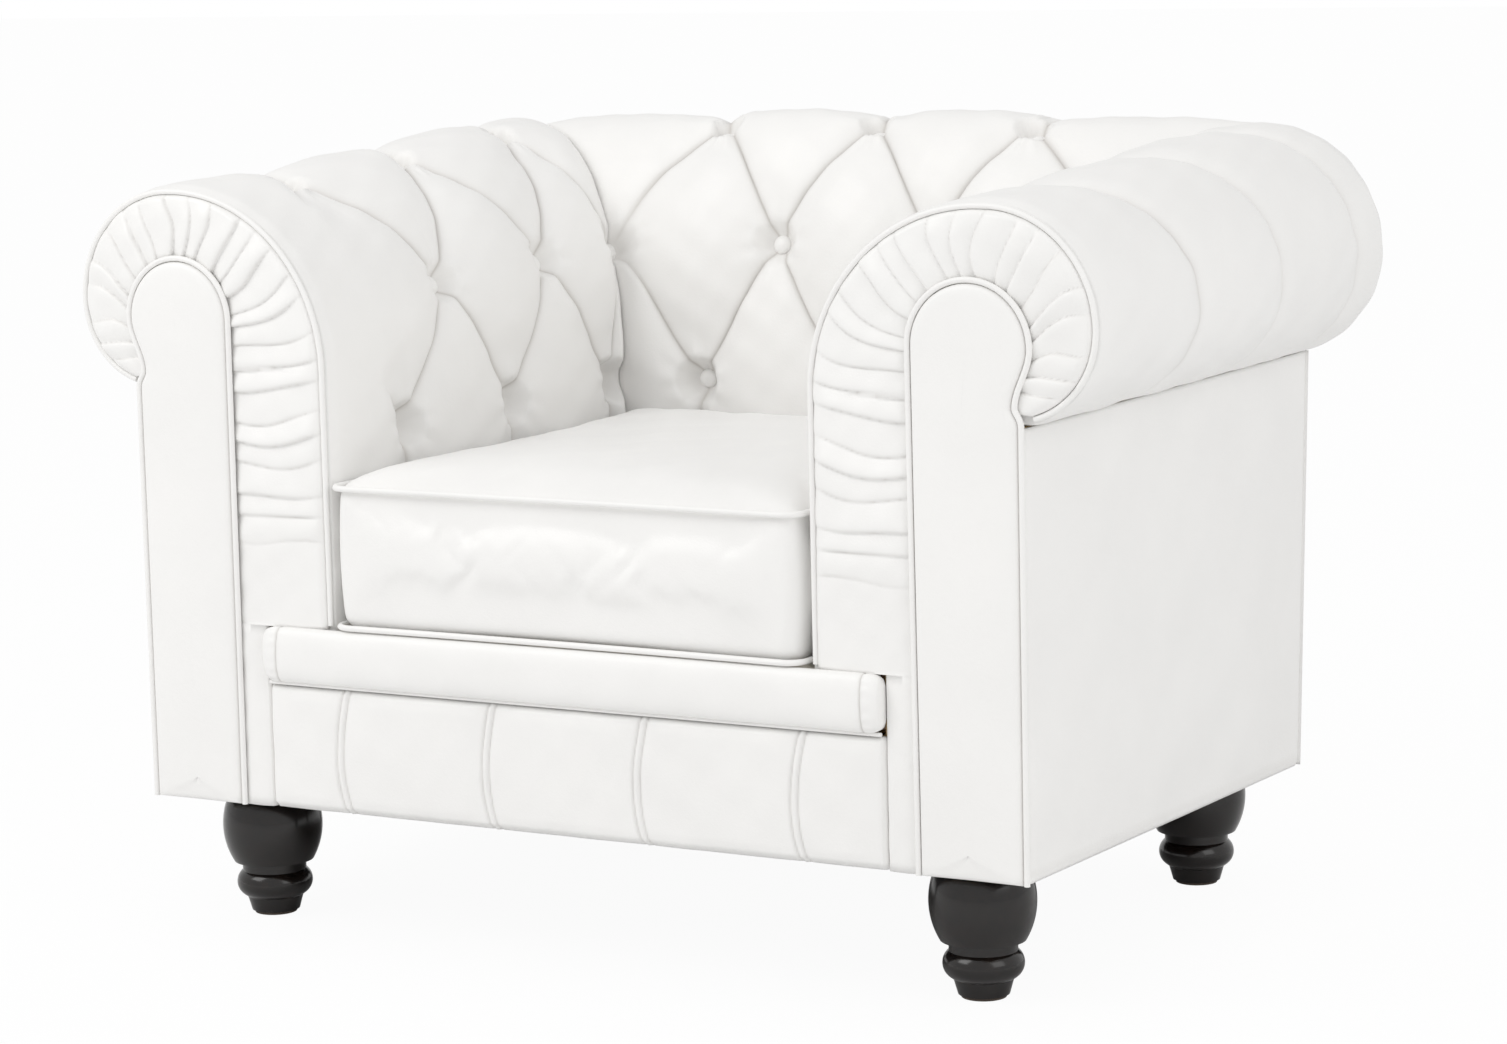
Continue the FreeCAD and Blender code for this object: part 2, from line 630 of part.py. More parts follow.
class Station:
    """One section of a pad: where it runs in plan, how it counts the buttons."""

    def __init__(self, count, inner, outer, reach, across, slant=0.0, rise=0.0, dip=None):
        self.count = count
        self.inner = inner
        self.outer = outer
        self.reach = reach
        self.across = across
        self.slant = slant
        self.rise = rise
        self.dip = dip
        self.crest = 1 - roll_radius.value / reach
        self.tuck = 1 - tuck_radius.value / reach
        self.turn = self.crest * (1 - math.cos(top_angle))

    def plan(self, part):
        """The point in plan at a part of the reach; beyond the top row the folds slant."""
        late = max(0.0, (part - self.turn) / (1 - self.turn))
        shift = self.slant * part + (1 - self.slant) * late
        along = self.inner[0] + (self.outer[0] - self.inner[0]) * shift
        out = self.inner[1] + (self.outer[1] - self.inner[1]) * part
        return (out, along) if self.across else (along, out)

    def sweep(self, angle):
        out = self.crest * self.reach
        normal = Vector(sweep_rise.value * math.cos(angle), -out * math.sin(angle), 0).normalize()
        if angle >= top_angle:
            row = 1.0
        elif angle >= middle_angle:
            row = 1 + (top_angle - angle) / (top_angle - middle_angle)
        else:
            row = 2 + 0.5 * (middle_angle - angle) / middle_angle
        height = sweep_z.value + sweep_rise.value * math.sin(angle)
        return (self.crest * (1 - math.cos(angle)), height, normal.x, normal.y, row, 1.0)

    def roll(self, angle):
        fade = 0.55 + 0.45 * angle / (math.pi / 2)
        height = roll_z.value + roll_radius.value * math.sin(angle)
        return (self.crest + (1 - self.crest) * math.cos(angle), height,
                -math.cos(angle), -math.sin(angle), 1.0, fade)

    def under(self, angle):
        fade = 0.55 + 0.4 * angle / (math.pi / 2)
        height = roll_z.value + tuck_radius.value * math.sin(angle)
        return (self.tuck + (1 - self.tuck) * math.cos(angle), height,
                -math.cos(angle), -math.sin(angle), 1.0, fade)

    def flat(self, share):
        part = self.tuck + (self.scaled(tail_out.value) - self.tuck) * share
        return (part, under_z.value, 0.0, 1.0, 1.0, 0.15 * (1 - share))

    def face(self, height):
        low = row_low.value
        if height >= low:
            row = 3 - 0.5 * (height - low) / (sweep_z.value - low)
            fade = 1.0
        else:
            row = 3.0
            fade = (height - pad_bottom.value) / (low - pad_bottom.value)
        return (0.0, height, 1.0, 0.0, row, fade)

    def point(self, mark, extra=0.0):
        """A point of the pad's skin, pressed in by the folds."""
        part, height, out, up, row, fade = mark
        puff = abs(math.cos(math.pi * (self.count + row) / 2) * math.cos(math.pi * (self.count - row) / 2))
        if self.slant == 1.0:
            puff = 0.0
        elif self.count < 0:
            puff = max(puff, min(1.0, -2 * self.count))
        press = fold_depth.value * fade * (1 - puff ** 0.7) + extra
        if self.dip is not None:
            press = self.dip
        height = height + up * press
        climb = 1 + self.rise / (crest_z.value - under_z.value)
        if height > under_z.value:
            height = under_z.value + (height - under_z.value) * climb
        x, y = self.plan(part + out * press / self.reach)
        return Vector(x, y, height)

    def scaled(self, out):
        """The part of the reach for a distance that runs straight on to the mitre."""
        across = corner_out.value if self.across else corner_back.value
        return out / corner_out.value * across / (self.outer[1] - self.inner[1])

    def hollow(self, out, height):
        """A point of the hollow."""
        x, y = self.plan(self.scaled(out))
        return Vector(x, y, height)

    def wire(self):
        half = math.pi / 2
        low = row_low.value
        bottom = pad_bottom.value
        heights = [sweep_z.value, low, low - 0.4 * (low - bottom), low - 0.75 * (low - bottom), bottom]
        sweeps = [half, top_angle, (top_angle + middle_angle) / 2, middle_angle, 0]
        marks = [self.flat(1), self.flat(0)]
        halfway = [self.flat(0.5)]
        for angle in (-half, -half / 2):
            halfway.append(self.under(angle + half / 4))
            marks.append(self.under(angle + half / 2))
        for angle in (0, half / 2):
            halfway.append(self.roll(angle + half / 4))
            marks.append(self.roll(angle + half / 2))
        for first, last in zip(sweeps, sweeps[1:]):
            halfway.append(self.sweep((first + last) / 2))
            marks.append(self.sweep(last))
        for first, last in zip(heights, heights[1:]):
            halfway.append(self.face((first + last) / 2))
            marks.append(self.face(last))
        points = [self.point(mark, self.button(mark)) for mark in marks]
        between = [self.point(mark) for mark in halfway]
        edges = []
        for first, mid, last in zip(points, between, points[1:]):
            if mid.sub(first).cross(last.sub(first)).Length < 1:
                edges.append(Part.LineSegment(first, last).toShape())
            else:
                edges.append(Part.Arc(first, mid, last).toShape())
        inside = [self.hollow(out.value, height.value) for out, height in core]
        ring = [points[-1]] + inside + [points[0]]
        edges += [Part.LineSegment(first, last).toShape() for first, last in zip(ring, ring[1:])]
        return Part.Wire(edges)

    def button(self, mark):
        """Extra depth where a button sits."""
        row = mark[4]
        whole = abs(row - round(row)) < 0.01 and abs(self.count - round(self.count)) < 0.01
        set_here = whole and (round(row) + round(self.count)) % 2 == 1 and self.count >= 0
        on_face = mark[5] >= 0.99 and mark[1] < crest_z.value - 0.5
        return button_depth.value - fold_depth.value if set_here and on_face else 0.0

    def seat(self, mark):
        """Where a button rests, and the way it looks out."""
        deep = self.point(mark, button_depth.value - fold_depth.value)
        out_x, out_y = self.plan(mark[0] + mark[2] * 0.05)
        in_x, in_y = self.plan(mark[0])
        plan = Vector(out_x - in_x, out_y - in_y, 0)
        if plan.Length > 0:
            plan.normalize()
        return deep, Vector(-plan.x * abs(mark[2]), -plan.y * abs(mark[2]), -mark[3]).normalize()


def arm_station(count):
    inner_x, outer_x = seat_half.value, seat_half.value + arm_reach.value
    last_row = 4
    depth = first_button.value + count * arm_pitch.value
    if count < 0:
        depth = first_button.value + count * (first_button.value - frame_front.value)
    slanted = arm_pitch.value * 0.85
    lean = slanted * min(1.0, max(0.0, (count + 1)))
    climb = seat_depth.value - climb_rear.value - climb_front.value
    rise = arm_rise.value * min(1.0, max(0.0, (depth - climb_front.value) / climb))
    dip = edge_dip.value if count == -1 else None
    if count <= last_row:
        inner_y = min(depth, seat_depth.value - last_button.value + 4)
        return Station(count, (inner_y, inner_x), (depth + lean, outer_x), arm_reach.value, True,
                       rise=rise, dip=dip)
    corner_y = seat_depth.value - gap.value
    last_y = first_button.value + last_row * arm_pitch.value
    if count < 5:
        share = count - last_row
        inner_y = min(last_y, seat_depth.value - last_button.value + 4)
        inner_y += (corner_y - inner_y) * share
        end_y = seat_depth.value + corner_back.value
        outer_y = last_y + slanted + (end_y - last_y - slanted) * share * 0.92
        reach = arm_reach.value + 20 * share
        return Station(count, (inner_y, inner_x), (outer_y, outer_x - 4 * share), reach, True,
                       slant=share, rise=rise)
    end = (corner_y + corner_back.value, inner_x + corner_out.value)
    reach = math.hypot(corner_out.value, corner_back.value)
    return Station(count, (corner_y, inner_x), end, reach, True, slant=1.0, rise=arm_rise.value)


def back_station(count):
    side = -1 if count < 0 else 1
    steps = abs(count)
    inner_y, outer_y = seat_depth.value, seat_depth.value + back_reach.value
    rise = arm_rise.value + (back_rise.value - arm_rise.value) * min(1.0, (3 - steps) / 1.5)
    if steps == 3:
        reach = math.hypot(corner_out.value, corner_back.value)
        return Station(steps, (side * seat_half.value, inner_y),
                       (side * (seat_half.value + corner_out.value), inner_y + corner_back.value),
                       reach, False, slant=1.0, rise=rise)
    inner_x = back_pitch.value * steps
    outer_x = inner_x * 1.3
    reach = back_reach.value
    slant = 0.0
    if steps > 2:
        outer_x = (inner_x + seat_half.value + corner_out.value) / 2 + 12
        outer_y -= 2
        reach += 40
        slant = 0.5
        inner_x -= 2
    return Station(steps, (side * inner_x, inner_y), (side * outer_x, outer_y), reach, False,
                   slant=slant, rise=rise)


def row_mark(station, row):
    if row == 3:
        return station.face(row_low.value)
    return station.sweep(top_angle if row == 1 else middle_angle)


def button_seats(stations):
    """The seat of every button on a run of stations."""
    seats = []
    for station in stations:
        rows = (1, 3) if round(station.count) % 2 == 0 else (2,)
        seats += [station.seat(row_mark(station, row)) for row in rows]
    return seats


def pocket(seat):
    """The round room that a button and its pull need in a pad."""
    point, way = seat
    return Part.makeCylinder(button_radius.value + gap.value, 70, point - way, way)


def button(seat):
    """A domed button, covered in the same leather."""
    point, way = seat
    radius, height = button_radius.value, button_height.value
    low = gap.value - 1
    crown = height * 0.65
    sphere = (radius * radius + crown * crown) / (2 * crown)
    solid = Part.makeCylinder(radius, height, Vector(0, 0, low))
    solid = solid.common(Part.makeSphere(sphere, Vector(0, 0, low + height - sphere)))
    solid.Placement = Placement(point, Rotation(Vector(0, 0, 1), way))
    return solid


arm_counts = [-1, -0.9, -0.5, 0, 0.5, 1, 1.5, 2, 2.5, 3, 3.5, 4, 4.5, 5]
arm_stations = [arm_station(count) for count in arm_counts]
back_stations = [back_station(count / 2) for count in range(-6, 7)]
arm_seats = button_seats([arm_station(count) for count in range(0, 6)])
back_seats = button_seats([back_station(count) for count in range(-2, 3)])
corner_seats = [arm_seats[-1], tuple(Vector(-p.x, p.y, p.z) for p in arm_seats[-1])]


def buttoned(stations, seats):
    solid = Part.makeLoft([station.wire() for station in stations], True, True)
    return solid.cut([pocket(seat) for seat in seats])


pair(feature("arm_pad", buttoned(arm_stations, arm_seats)), "arm_pad")
name_piece(feature("back_pad", buttoned(back_stations, back_seats + corner_seats)), "back_pad")
pair(feature("arm_buttons", Part.makeCompound([button(seat) for seat in arm_seats])), "arm_buttons")
name_piece(feature("back_buttons", Part.makeCompound([button(seat) for seat in back_seats])), "back_buttons")

# Outside panels: board, thin padding and leather, with a hem that drops to the rear
skin_top = under_z - gap * 2
rear_in = rear_low - skin_thick - gap
pair(pad("outside_arm", "YZ_Plane", [
    (frame_front, hem_front),
    (rear_in, hem_rear),
    (rear_in + rear_lean, skin_top),
    (frame_front, skin_top),
], skin_thick), "outside_arm")
for panel in pieces[-2:-1]:
    place(panel, skin_x, 0)
outside_back = pad("outside_back", "YZ_Plane", [
    (rear_low - skin_thick, hem_rear),
    (rear_low, hem_rear),
    (rear_low + rear_lean, skin_top),
    (rear_low + rear_lean - skin_thick, skin_top),
], side_x * 2)
place(outside_back, -side_x, 0)
name_piece(outside_back, "outside_back")

# Arm facings: arched padded boards over the ends of the arms
face_centre = face_inner + face_radius
facing = pad("facing", "XZ_Plane", [
    (face_inner + 3, foot_height),
    (side_x - 1, foot_height),
    (face_neck_x, face_neck_z),
    (face_centre + face_radius, face_z),
    (face_inner, face_z, face_centre, face_z, 1),
], front_layer, reverse=True)
place(facing)
pair(facing, "facing")


def tube(edges, radius, start, way):
    """A welt: a cord along a path of lines and arcs."""
    profile = Part.Wire([Part.Circle(start, way, radius).toShape()])
    return Part.Wire(edges).makePipeShell([profile], True, False)


def facing_welt():
    side = welt_radius.value + gap.value
    depth = band_front.value - pleat_valley.value - band_puff.value + welt_radius.value
    centre = face_centre.value
    reach = face_radius.value + side
    height = face_z.value
    low = foot_height.value
    left = Vector(centre - reach, depth, height)
    top = Vector(centre, depth, height + reach)
    right = Vector(centre + reach, depth, height)
    diagonal = reach * math.sqrt(0.5)
    start = Vector(centre - reach, depth, low)
    edges = [
        Part.LineSegment(start, left).toShape(),
        Part.Arc(left, Vector(centre - diagonal, depth, height + diagonal), top).toShape(),
        Part.Arc(top, Vector(centre + diagonal, depth, height + diagonal), right).toShape(),
    ]
    return tube(edges, welt_radius.value, start, Vector(0, 0, 1))


def scroll_edges(inset, depth, low):
    """The outline of an arm's end: line, sweep, roll and tuck, drawn in by an inset."""
    edge = seat_half.value + edge_dip.value + inset
    rise = sweep_rise.value - edge_dip.value - inset
    roll = roll_radius.value - edge_dip.value - inset
    tuck = tuck_radius.value - edge_dip.value - inset
    out = seat_half.value + arm_reach.value - edge_dip.value - inset
    turn = math.sqrt(0.5)

    def at(x, z):
        return Vector(x, depth, z)

    crest_in = edge + rise
    crest_out = out - roll
    under_out = out - tuck
    height = sweep_z.value
    rolled = roll_z.value
    stop = math.radians(tuck_stop.value)
    points = [at(edge, low), at(edge, height), at(crest_in, height + rise), at(crest_out, height + rise),
              at(out, rolled), at(under_out + tuck * math.cos(stop), rolled - tuck * math.sin(stop))]
    edges = [
        Part.LineSegment(points[0], points[1]).toShape(),
        Part.Arc(points[1], at(crest_in - rise * turn, height + rise * turn), points[2]).toShape(),
        Part.LineSegment(points[2], points[3]).toShape(),
        Part.Arc(points[3], at(crest_out + roll * turn, rolled + roll * turn), points[4]).toShape(),
        Part.Arc(points[4], at(under_out + tuck * math.cos(stop / 2), rolled - tuck * math.sin(stop / 2)),
                 points[5]).toShape(),
    ]
    return edges


def scroll_welt():
    depth = frame_front.value - gap.value - welt_radius.value
    low = lip_high.value + 2 + welt_radius.value
    edges = scroll_edges(welt_radius.value, depth, low)
    start = edges[0].Vertexes[0].Point
    return tube(edges, welt_radius.value, start, Vector(0, 0, 1))


# Pleated band: the leather of an arm's end, gathered in pleats up to the facing
def along(points, share):
    """The point at a share of a run of points, by length."""
    lengths = [first.distanceToPoint(last) for first, last in zip(points, points[1:])]
    left = share * sum(lengths)
    for (first, last), length in zip(zip(points, points[1:]), lengths):
        if left <= length:
            return first + (last - first) * (left / length)
        left -= length
    return points[-1]


def sampled(edges, count=40):
    points = []
    for edge in edges:
        points += edge.discretize(count)[0 if not points else 1:]
    return points


def pleated_band():
    inset = welt_radius.value * 2 + gap.value
    outline = scroll_edges(inset, 0, lip_high.value + 1)
    round_part = sampled(outline[1:])
    side = gap.value
    centre, reach, height = face_centre.value, face_radius.value + side, face_z.value
    arch = [Vector(centre + reach * math.cos(math.radians(angle)), 0,
                   height + reach * math.sin(math.radians(angle))) for angle in range(180, -1, -6)]
    neck = [Vector(face_neck_x.value + side * 4, 0, face_neck_z.value),
            Vector(face_neck_x.value + side * 4, 0, under_z.value + 8)]
    facing_part = [Vector(centre - reach, 0, sweep_z.value)] + arch + neck
    edge = outline[0].Vertexes[0].Point.x
    back = front_layer.value
    front = band_front.value
    quads = []

    def quad(near, far, pleat):
        near_y = front + (0 if pleat else pleat_valley.value * 0.5)
        middle_y = front - (band_puff.value if pleat else 0)
        between = (near + far) * 0.5
        corners = [Vector(near.x, back, near.z), Vector(near.x, near_y, near.z),
                   Vector(between.x, middle_y, between.z), Vector(far.x, front, far.z),
                   Vector(far.x, back, far.z)]
        quads.append(Part.makePolygon(corners + [corners[0]]))

    strip = lip_half.value + 2
    for level in (foot_height.value, lip_high.value + 1):
        quad(Vector(centre - reach, 0, level), Vector(strip, 0, level), True)
    straight = int((sweep_z.value - pleat_start.value) / pleat_pitch.value) * 2
    quad(Vector(centre - reach, 0, lip_high.value + 2), Vector(edge, 0, lip_high.value + 2), True)
    for index in range(straight + 1):
        level = pleat_start.value + (sweep_z.value - pleat_start.value) * index / straight
        quad(Vector(centre - reach, 0, level), Vector(edge, 0, level), index % 2 == 1)
    length = sum(first.distanceToPoint(last) for first, last in zip(facing_part, facing_part[1:]))
    turns = int(length / 15.5) * 2
    for index in range(1, turns + 1):
        share = index / turns
        quad(along(facing_part, share), along(round_part, share), index % 2 == 1)
    return Part.makeLoft(quads, True, True)


pair(feature("facing_welt", facing_welt()), "facing_welt")
pair(feature("scroll_welt", scroll_welt()), "scroll_welt")
pair(feature("pleated_band", pleated_band()), "pleated_band")

# Front roll, its welt and the border panel under it
rounded = lip_round
lip_back = frame_front - gap * 2
roll_body = pad("front_roll", "YZ_Plane", [
    (lip_back, lip_low),
    (lip_back, lip_high),
    (-lip_front + rounded, lip_high),
    (-lip_front, lip_high - rounded, -lip_front + rounded, lip_high - rounded, 1),
    (-lip_front, lip_low + rounded),
    (-lip_front + rounded, lip_low, -lip_front + rounded, lip_low + rounded, 1),
], lip_half * 2)
place(roll_body, -lip_half, 0)
name_piece(roll_body, "front_roll")
border_top = lip_low - gap * 2 - welt_radius * 1.5


def border():
    """A panel with four upright tucks and a soft puff between each pair."""
    back = lip_back.value
    tuck = border_tuck.value
    puff = tuck - border_puff.value
    low = foot_height.value
    half = border_half.value
    stops = [-half] + [border_pitch.value * step for step in (-1.5, -0.5, 0.5, 1.5)] + [half]
    edges = [Part.LineSegment(Vector(half, back, low), Vector(-half, back, low)).toShape(),
             Part.LineSegment(Vector(-half, back, low), Vector(-half, tuck, low)).toShape()]
    for first, last in zip(stops, stops[1:]):
        share = min(1.0, (last - first) / border_pitch.value)
        halfway = Vector((first + last) / 2, tuck - (tuck - puff) * share, low)
        edges.append(Part.Arc(Vector(first, tuck, low), halfway, Vector(last, tuck, low)).toShape())
    edges.append(Part.LineSegment(Vector(half, tuck, low), Vector(half, back, low)).toShape())
    return Part.Face(Part.Wire(edges)).extrude(Vector(0, 0, border_top.value - low))


name_piece(feature("front_border", border()), "front_border")
roll_welt = doc.addObject("Part::Cylinder", "roll_welt_bar")
bind(roll_welt, "Radius", welt_radius * 0.7)
bind(roll_welt, "Height", lip_half * 2)
roll_welt.Placement = Placement(Vector(), Rotation(Vector(0, 1, 0), 90))
place(roll_welt, -lip_half, border_tuck, lip_low - gap - welt_radius * 0.7)
name_piece(roll_welt, "roll_welt")


# Seat cushion: outlines with round corners and sides that pull in
def cushion_edges(inset, height):
    corner = cushion_corner.value + inset * 0.5
    pull = cushion_pull.value
    x = cushion_half.value - inset
    front = -cushion_front.value + inset
    rear = cushion_rear.value - inset
    centre_y = (front + rear) / 2
    y = (rear - front) / 2
    tilt_x = 2 * math.atan(pull / (y - corner))
    tilt_y = 2 * math.atan(pull / (x - corner))
    edges = []
    points = []
    for turn_x, turn_y, start in ((1, 1, 0), (-1, 1, 90), (-1, -1, 180), (1, -1, 270)):
        first, last = (tilt_x, tilt_y) if start % 180 == 0 else (tilt_y, tilt_x)
        centre = Vector(turn_x * (x - corner), centre_y + turn_y * (y - corner), height)
        angles = [math.radians(start) - first, math.radians(start + 45), math.radians(start + 90) + last]
        points.append([centre + Vector(math.cos(a), math.sin(a), 0) * corner for a in angles])
    for index, corner_points in enumerate(points):
        edges.append(Part.Arc(*corner_points).toShape())
        following = points[(index + 1) % 4][0]
        halfway = (corner_points[2] + following) * 0.5
        tilt = tilt_y if index % 2 == 0 else tilt_x
        to_middle = Vector(0, centre_y, height) - halfway
        to_middle.normalize()
        pulled = corner_points[2].distanceToPoint(following) / 2 * math.tan(tilt / 2)
        edges.append(Part.Arc(corner_points[2], halfway + to_middle * pulled, following).toShape())
    return edges


def cushion_wire(inset, height):
    return Part.Wire(cushion_edges(inset, height))


piping_inset = piping_radius.value * 0.7
seam = piping_inset + piping_radius.value + gap.value
levels = [(0.0, 0.0), (0.35, 8.0), (0.62, 24.0), (0.84, 58.0), (1.0, 110.0)]


def dome(drop, start):
    """The crowned top: nested outlines, each smaller and higher than the last."""
    top = cushion_high.value
    return [cushion_wire(start + inset, top + share * cushion_crown.value - drop) for share, inset in levels]


def crowned_panel():
    thick = leather_thick.value
    outer = Part.makeLoft([cushion_wire(seam, cushion_high.value - thick)] + dome(0, seam), True, True)
    inner = Part.makeLoft([cushion_wire(seam + 0.01, cushion_high.value - thick - 1)] + dome(thick, seam + 0.01),
                          True, True)
    return outer.cut(inner)


def boxing():
    outer = Part.Face(cushion_wire(0, boxing_low))
    inner = Part.Face(cushion_wire(leather_thick.value, boxing_low))
    ring = outer.cut(inner).extrude(Vector(0, 0, boxing_high - boxing_low))
    slot = Part.makeBox(2 * zip_half.value, 20, zip_height.value,
                        Vector(-zip_half.value, cushion_rear.value - 15, zip_z))
    return ring.cut(slot)


def zip_strip():
    room = gap.value
    outer = Part.Face(cushion_wire(0.5, zip_z + room))
    inner = Part.Face(cushion_wire(leather_thick.value - 0.5, zip_z + room))
    ring = outer.cut(inner).extrude(Vector(0, 0, zip_height.value - 2 * room))
    window = Part.makeBox(2 * (zip_half.value - room), 20, zip_height.value,
                          Vector(-zip_half.value + room, cushion_rear.value - 15, zip_z))
    return ring.common(window)


def cushion_core():
    room = leather_thick.value + gap.value
    low = cushion_low.value + room
    outlines = [cushion_wire(room + 6, low), cushion_wire(room, low + 14),
                cushion_wire(room, cushion_high.value - 18)]
    return Part.makeLoft(outlines + dome(room, seam + gap.value), True, True)


def piping(height):
    edges = cushion_edges(piping_inset, height)
    start = edges[0].Vertexes[0].Point
    tangent = edges[0].tangentAt(edges[0].FirstParameter)
    profile = Part.Wire([Part.Circle(start, tangent, piping_radius.value).toShape()])
    return Part.Wire(edges).makePipeShell([profile], True, False)


piping_low = cushion_low.value + piping_radius.value
boxing_low = piping_low + piping_radius.value + gap.value
boxing_high = cushion_high.value - piping_radius.value - gap.value
zip_z = (boxing_low + boxing_high - zip_height.value) / 2
name_piece(feature("cushion_core", cushion_core()), "cushion_core")
name_piece(feature("cushion_top_panel", crowned_panel()), "cushion_top_panel")
bottom_face = Part.Face(cushion_wire(seam, cushion_low.value))
name_piece(feature("cushion_bottom_panel", bottom_face.extrude(Vector(0, 0, leather_thick.value))),
           "cushion_bottom_panel")
name_piece(feature("cushion_boxing", boxing()), "cushion_boxing")
name_piece(feature("cushion_zip", zip_strip()), "cushion_zip")
cords = Part.makeCompound([piping(piping_low), piping(cushion_high.value)])
name_piece(feature("cushion_piping", cords), "cushion_piping")

# Dust cover: thin cloth under the frame, cut out round the feet
cover_in = frame_side - 4
cover_front = frame_front + 4
cover_rear = rear_board + rail_thick
hole = ball_top + 2
holes = [(side, depth, hole) for side in (foot_x, -foot_x) for depth in (foot_front, foot_rear)]
dust_cover = pad("dust_cover", "XY_Plane", [
    (cover_in, cover_front),
    (cover_in, cover_rear),
    (-cover_in, cover_rear),
    (-cover_in, cover_front),
], cover_thick, circles=holes)
place(dust_cover, 0, 0, frame_z - gap - cover_thick)
name_piece(dust_cover, "dust_cover")

# Check every object, then write each piece
doc.recompute()
failed = [item.Name for item in doc.Objects if "Invalid" in item.State or "Error" in item.State]
if failed:
    raise SystemExit(f"failed objects: {failed}")
for piece in pieces:
    if piece.Shape.isNull() or not piece.Shape.isValid() or not piece.Shape.Solids:
        raise SystemExit(f"no valid solid in {piece.Label}")
for piece in pieces:
    piece.Shape.exportStep(f"parts/{piece.Label}.step")
whole = Part.makeCompound([piece.Shape for piece in pieces]).BoundBox
print(len(pieces), "nodes", [round(v, 1) for v in (whole.XMin, whole.XMax, whole.YMin, whole.YMax,
                                                   whole.ZMin, whole.ZMax)])
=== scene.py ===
import json
import math

import bpy
import numpy as np
from mathutils import Matrix, Vector


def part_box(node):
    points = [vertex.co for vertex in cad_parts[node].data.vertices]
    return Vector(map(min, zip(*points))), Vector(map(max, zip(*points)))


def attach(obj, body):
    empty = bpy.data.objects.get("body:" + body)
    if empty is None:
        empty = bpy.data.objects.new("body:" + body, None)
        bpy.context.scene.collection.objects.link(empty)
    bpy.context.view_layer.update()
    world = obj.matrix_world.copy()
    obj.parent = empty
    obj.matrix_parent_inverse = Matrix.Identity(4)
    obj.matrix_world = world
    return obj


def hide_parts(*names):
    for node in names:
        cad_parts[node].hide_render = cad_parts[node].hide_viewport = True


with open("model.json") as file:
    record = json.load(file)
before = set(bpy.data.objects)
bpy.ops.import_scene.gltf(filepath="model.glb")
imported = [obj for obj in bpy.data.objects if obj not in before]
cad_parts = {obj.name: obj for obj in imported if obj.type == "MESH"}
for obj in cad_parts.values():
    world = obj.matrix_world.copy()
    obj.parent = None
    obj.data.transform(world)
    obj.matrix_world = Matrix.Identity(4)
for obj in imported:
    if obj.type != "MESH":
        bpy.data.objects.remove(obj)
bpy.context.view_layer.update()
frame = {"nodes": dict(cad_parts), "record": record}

# The view, the room and the light: the armchair stands on a pale studio floor, seen from its
# front and past its left arm at chest height. A wide lamp, a smaller one and a soft sky light it.
camera = bpy.data.objects.new("camera", bpy.data.cameras.new("camera"))
camera.data.sensor_width = 36
camera.data.lens = 98.7
turn, tip, roll = math.radians(29.51), math.radians(8.51), math.radians(1.32)
ahead = Vector((-math.sin(turn) * math.cos(tip), math.cos(turn) * math.cos(tip), -math.sin(tip)))
right = Vector((math.cos(turn), math.sin(turn), 0))
above = right.cross(ahead)
level_right = right * math.cos(roll) - above * math.sin(roll)
level_above = right * math.sin(roll) + above * math.cos(roll)
camera.matrix_world = Matrix((level_right, level_above, -ahead)).transposed().to_4x4()
camera.location = (2.04207, -3.62661, 0.99773)
bpy.context.collection.objects.link(camera)
bpy.context.scene.camera = camera
bpy.context.scene.view_settings.view_transform = "Standard"


def add(tree, kind, settings=None, inputs=None):
    """One node, with its settings, and its inputs as values or as other nodes' outputs."""
    made = tree.nodes.new(kind)
    for key, value in (settings or {}).items():
        setattr(made, key, value)
    for key, value in (inputs or {}).items():
        if isinstance(value, bpy.types.NodeSocket):
            tree.links.new(value, made.inputs[key])
        else:
            made.inputs[key].default_value = value
    return made


def linear(code):
    """A written sRGB colour as the linear one that the shaders take."""
    parts = [int(code[i:i + 2], 16) / 255 for i in (1, 3, 5)]
    return [p / 12.92 if p <= 0.04045 else ((p + 0.055) / 1.055) ** 2.4 for p in parts] + [1.0]


def lamp(name, place, aim, size, power):
    data = bpy.data.lights.new(name, "AREA")
    data.size = size
    data.energy = power
    item = bpy.data.objects.new(name, data)
    item.location = place
    item.rotation_euler = (Vector(aim) - Vector(place)).to_track_quat("-Z", "Y").to_euler()
    bpy.context.collection.objects.link(item)


lamp("key_lamp", (-1.9, -2.6, 3.1), (0, 0, 0.4), 2.2, 45)
lamp("side_lamp", (3.2, -1.2, 1.9), (0, 0, 0.4), 2.0, 17)

sky = bpy.data.worlds.new("studio_sky")
sky.use_nodes = True
sky.node_tree.nodes.clear()
path = add(sky.node_tree, "ShaderNodeLightPath")
seen = add(sky.node_tree, "ShaderNodeMath", {"operation": "MAXIMUM", "use_clamp": True},
           {0: path.outputs["Is Camera Ray"], 1: path.outputs["Is Transmission Ray"]})
soft_sky = add(sky.node_tree, "ShaderNodeBackground", None, {"Color": (1, 1, 1, 1), "Strength": 0.77})
white_sky = add(sky.node_tree, "ShaderNodeBackground", None, {"Color": (1, 1, 1, 1), "Strength": 1.0})
both = add(sky.node_tree, "ShaderNodeMixShader", None,
           {0: seen.outputs[0], 1: soft_sky.outputs[0], 2: white_sky.outputs[0]})
add(sky.node_tree, "ShaderNodeOutputWorld", None, {"Surface": both.outputs[0]})
bpy.context.scene.world = sky

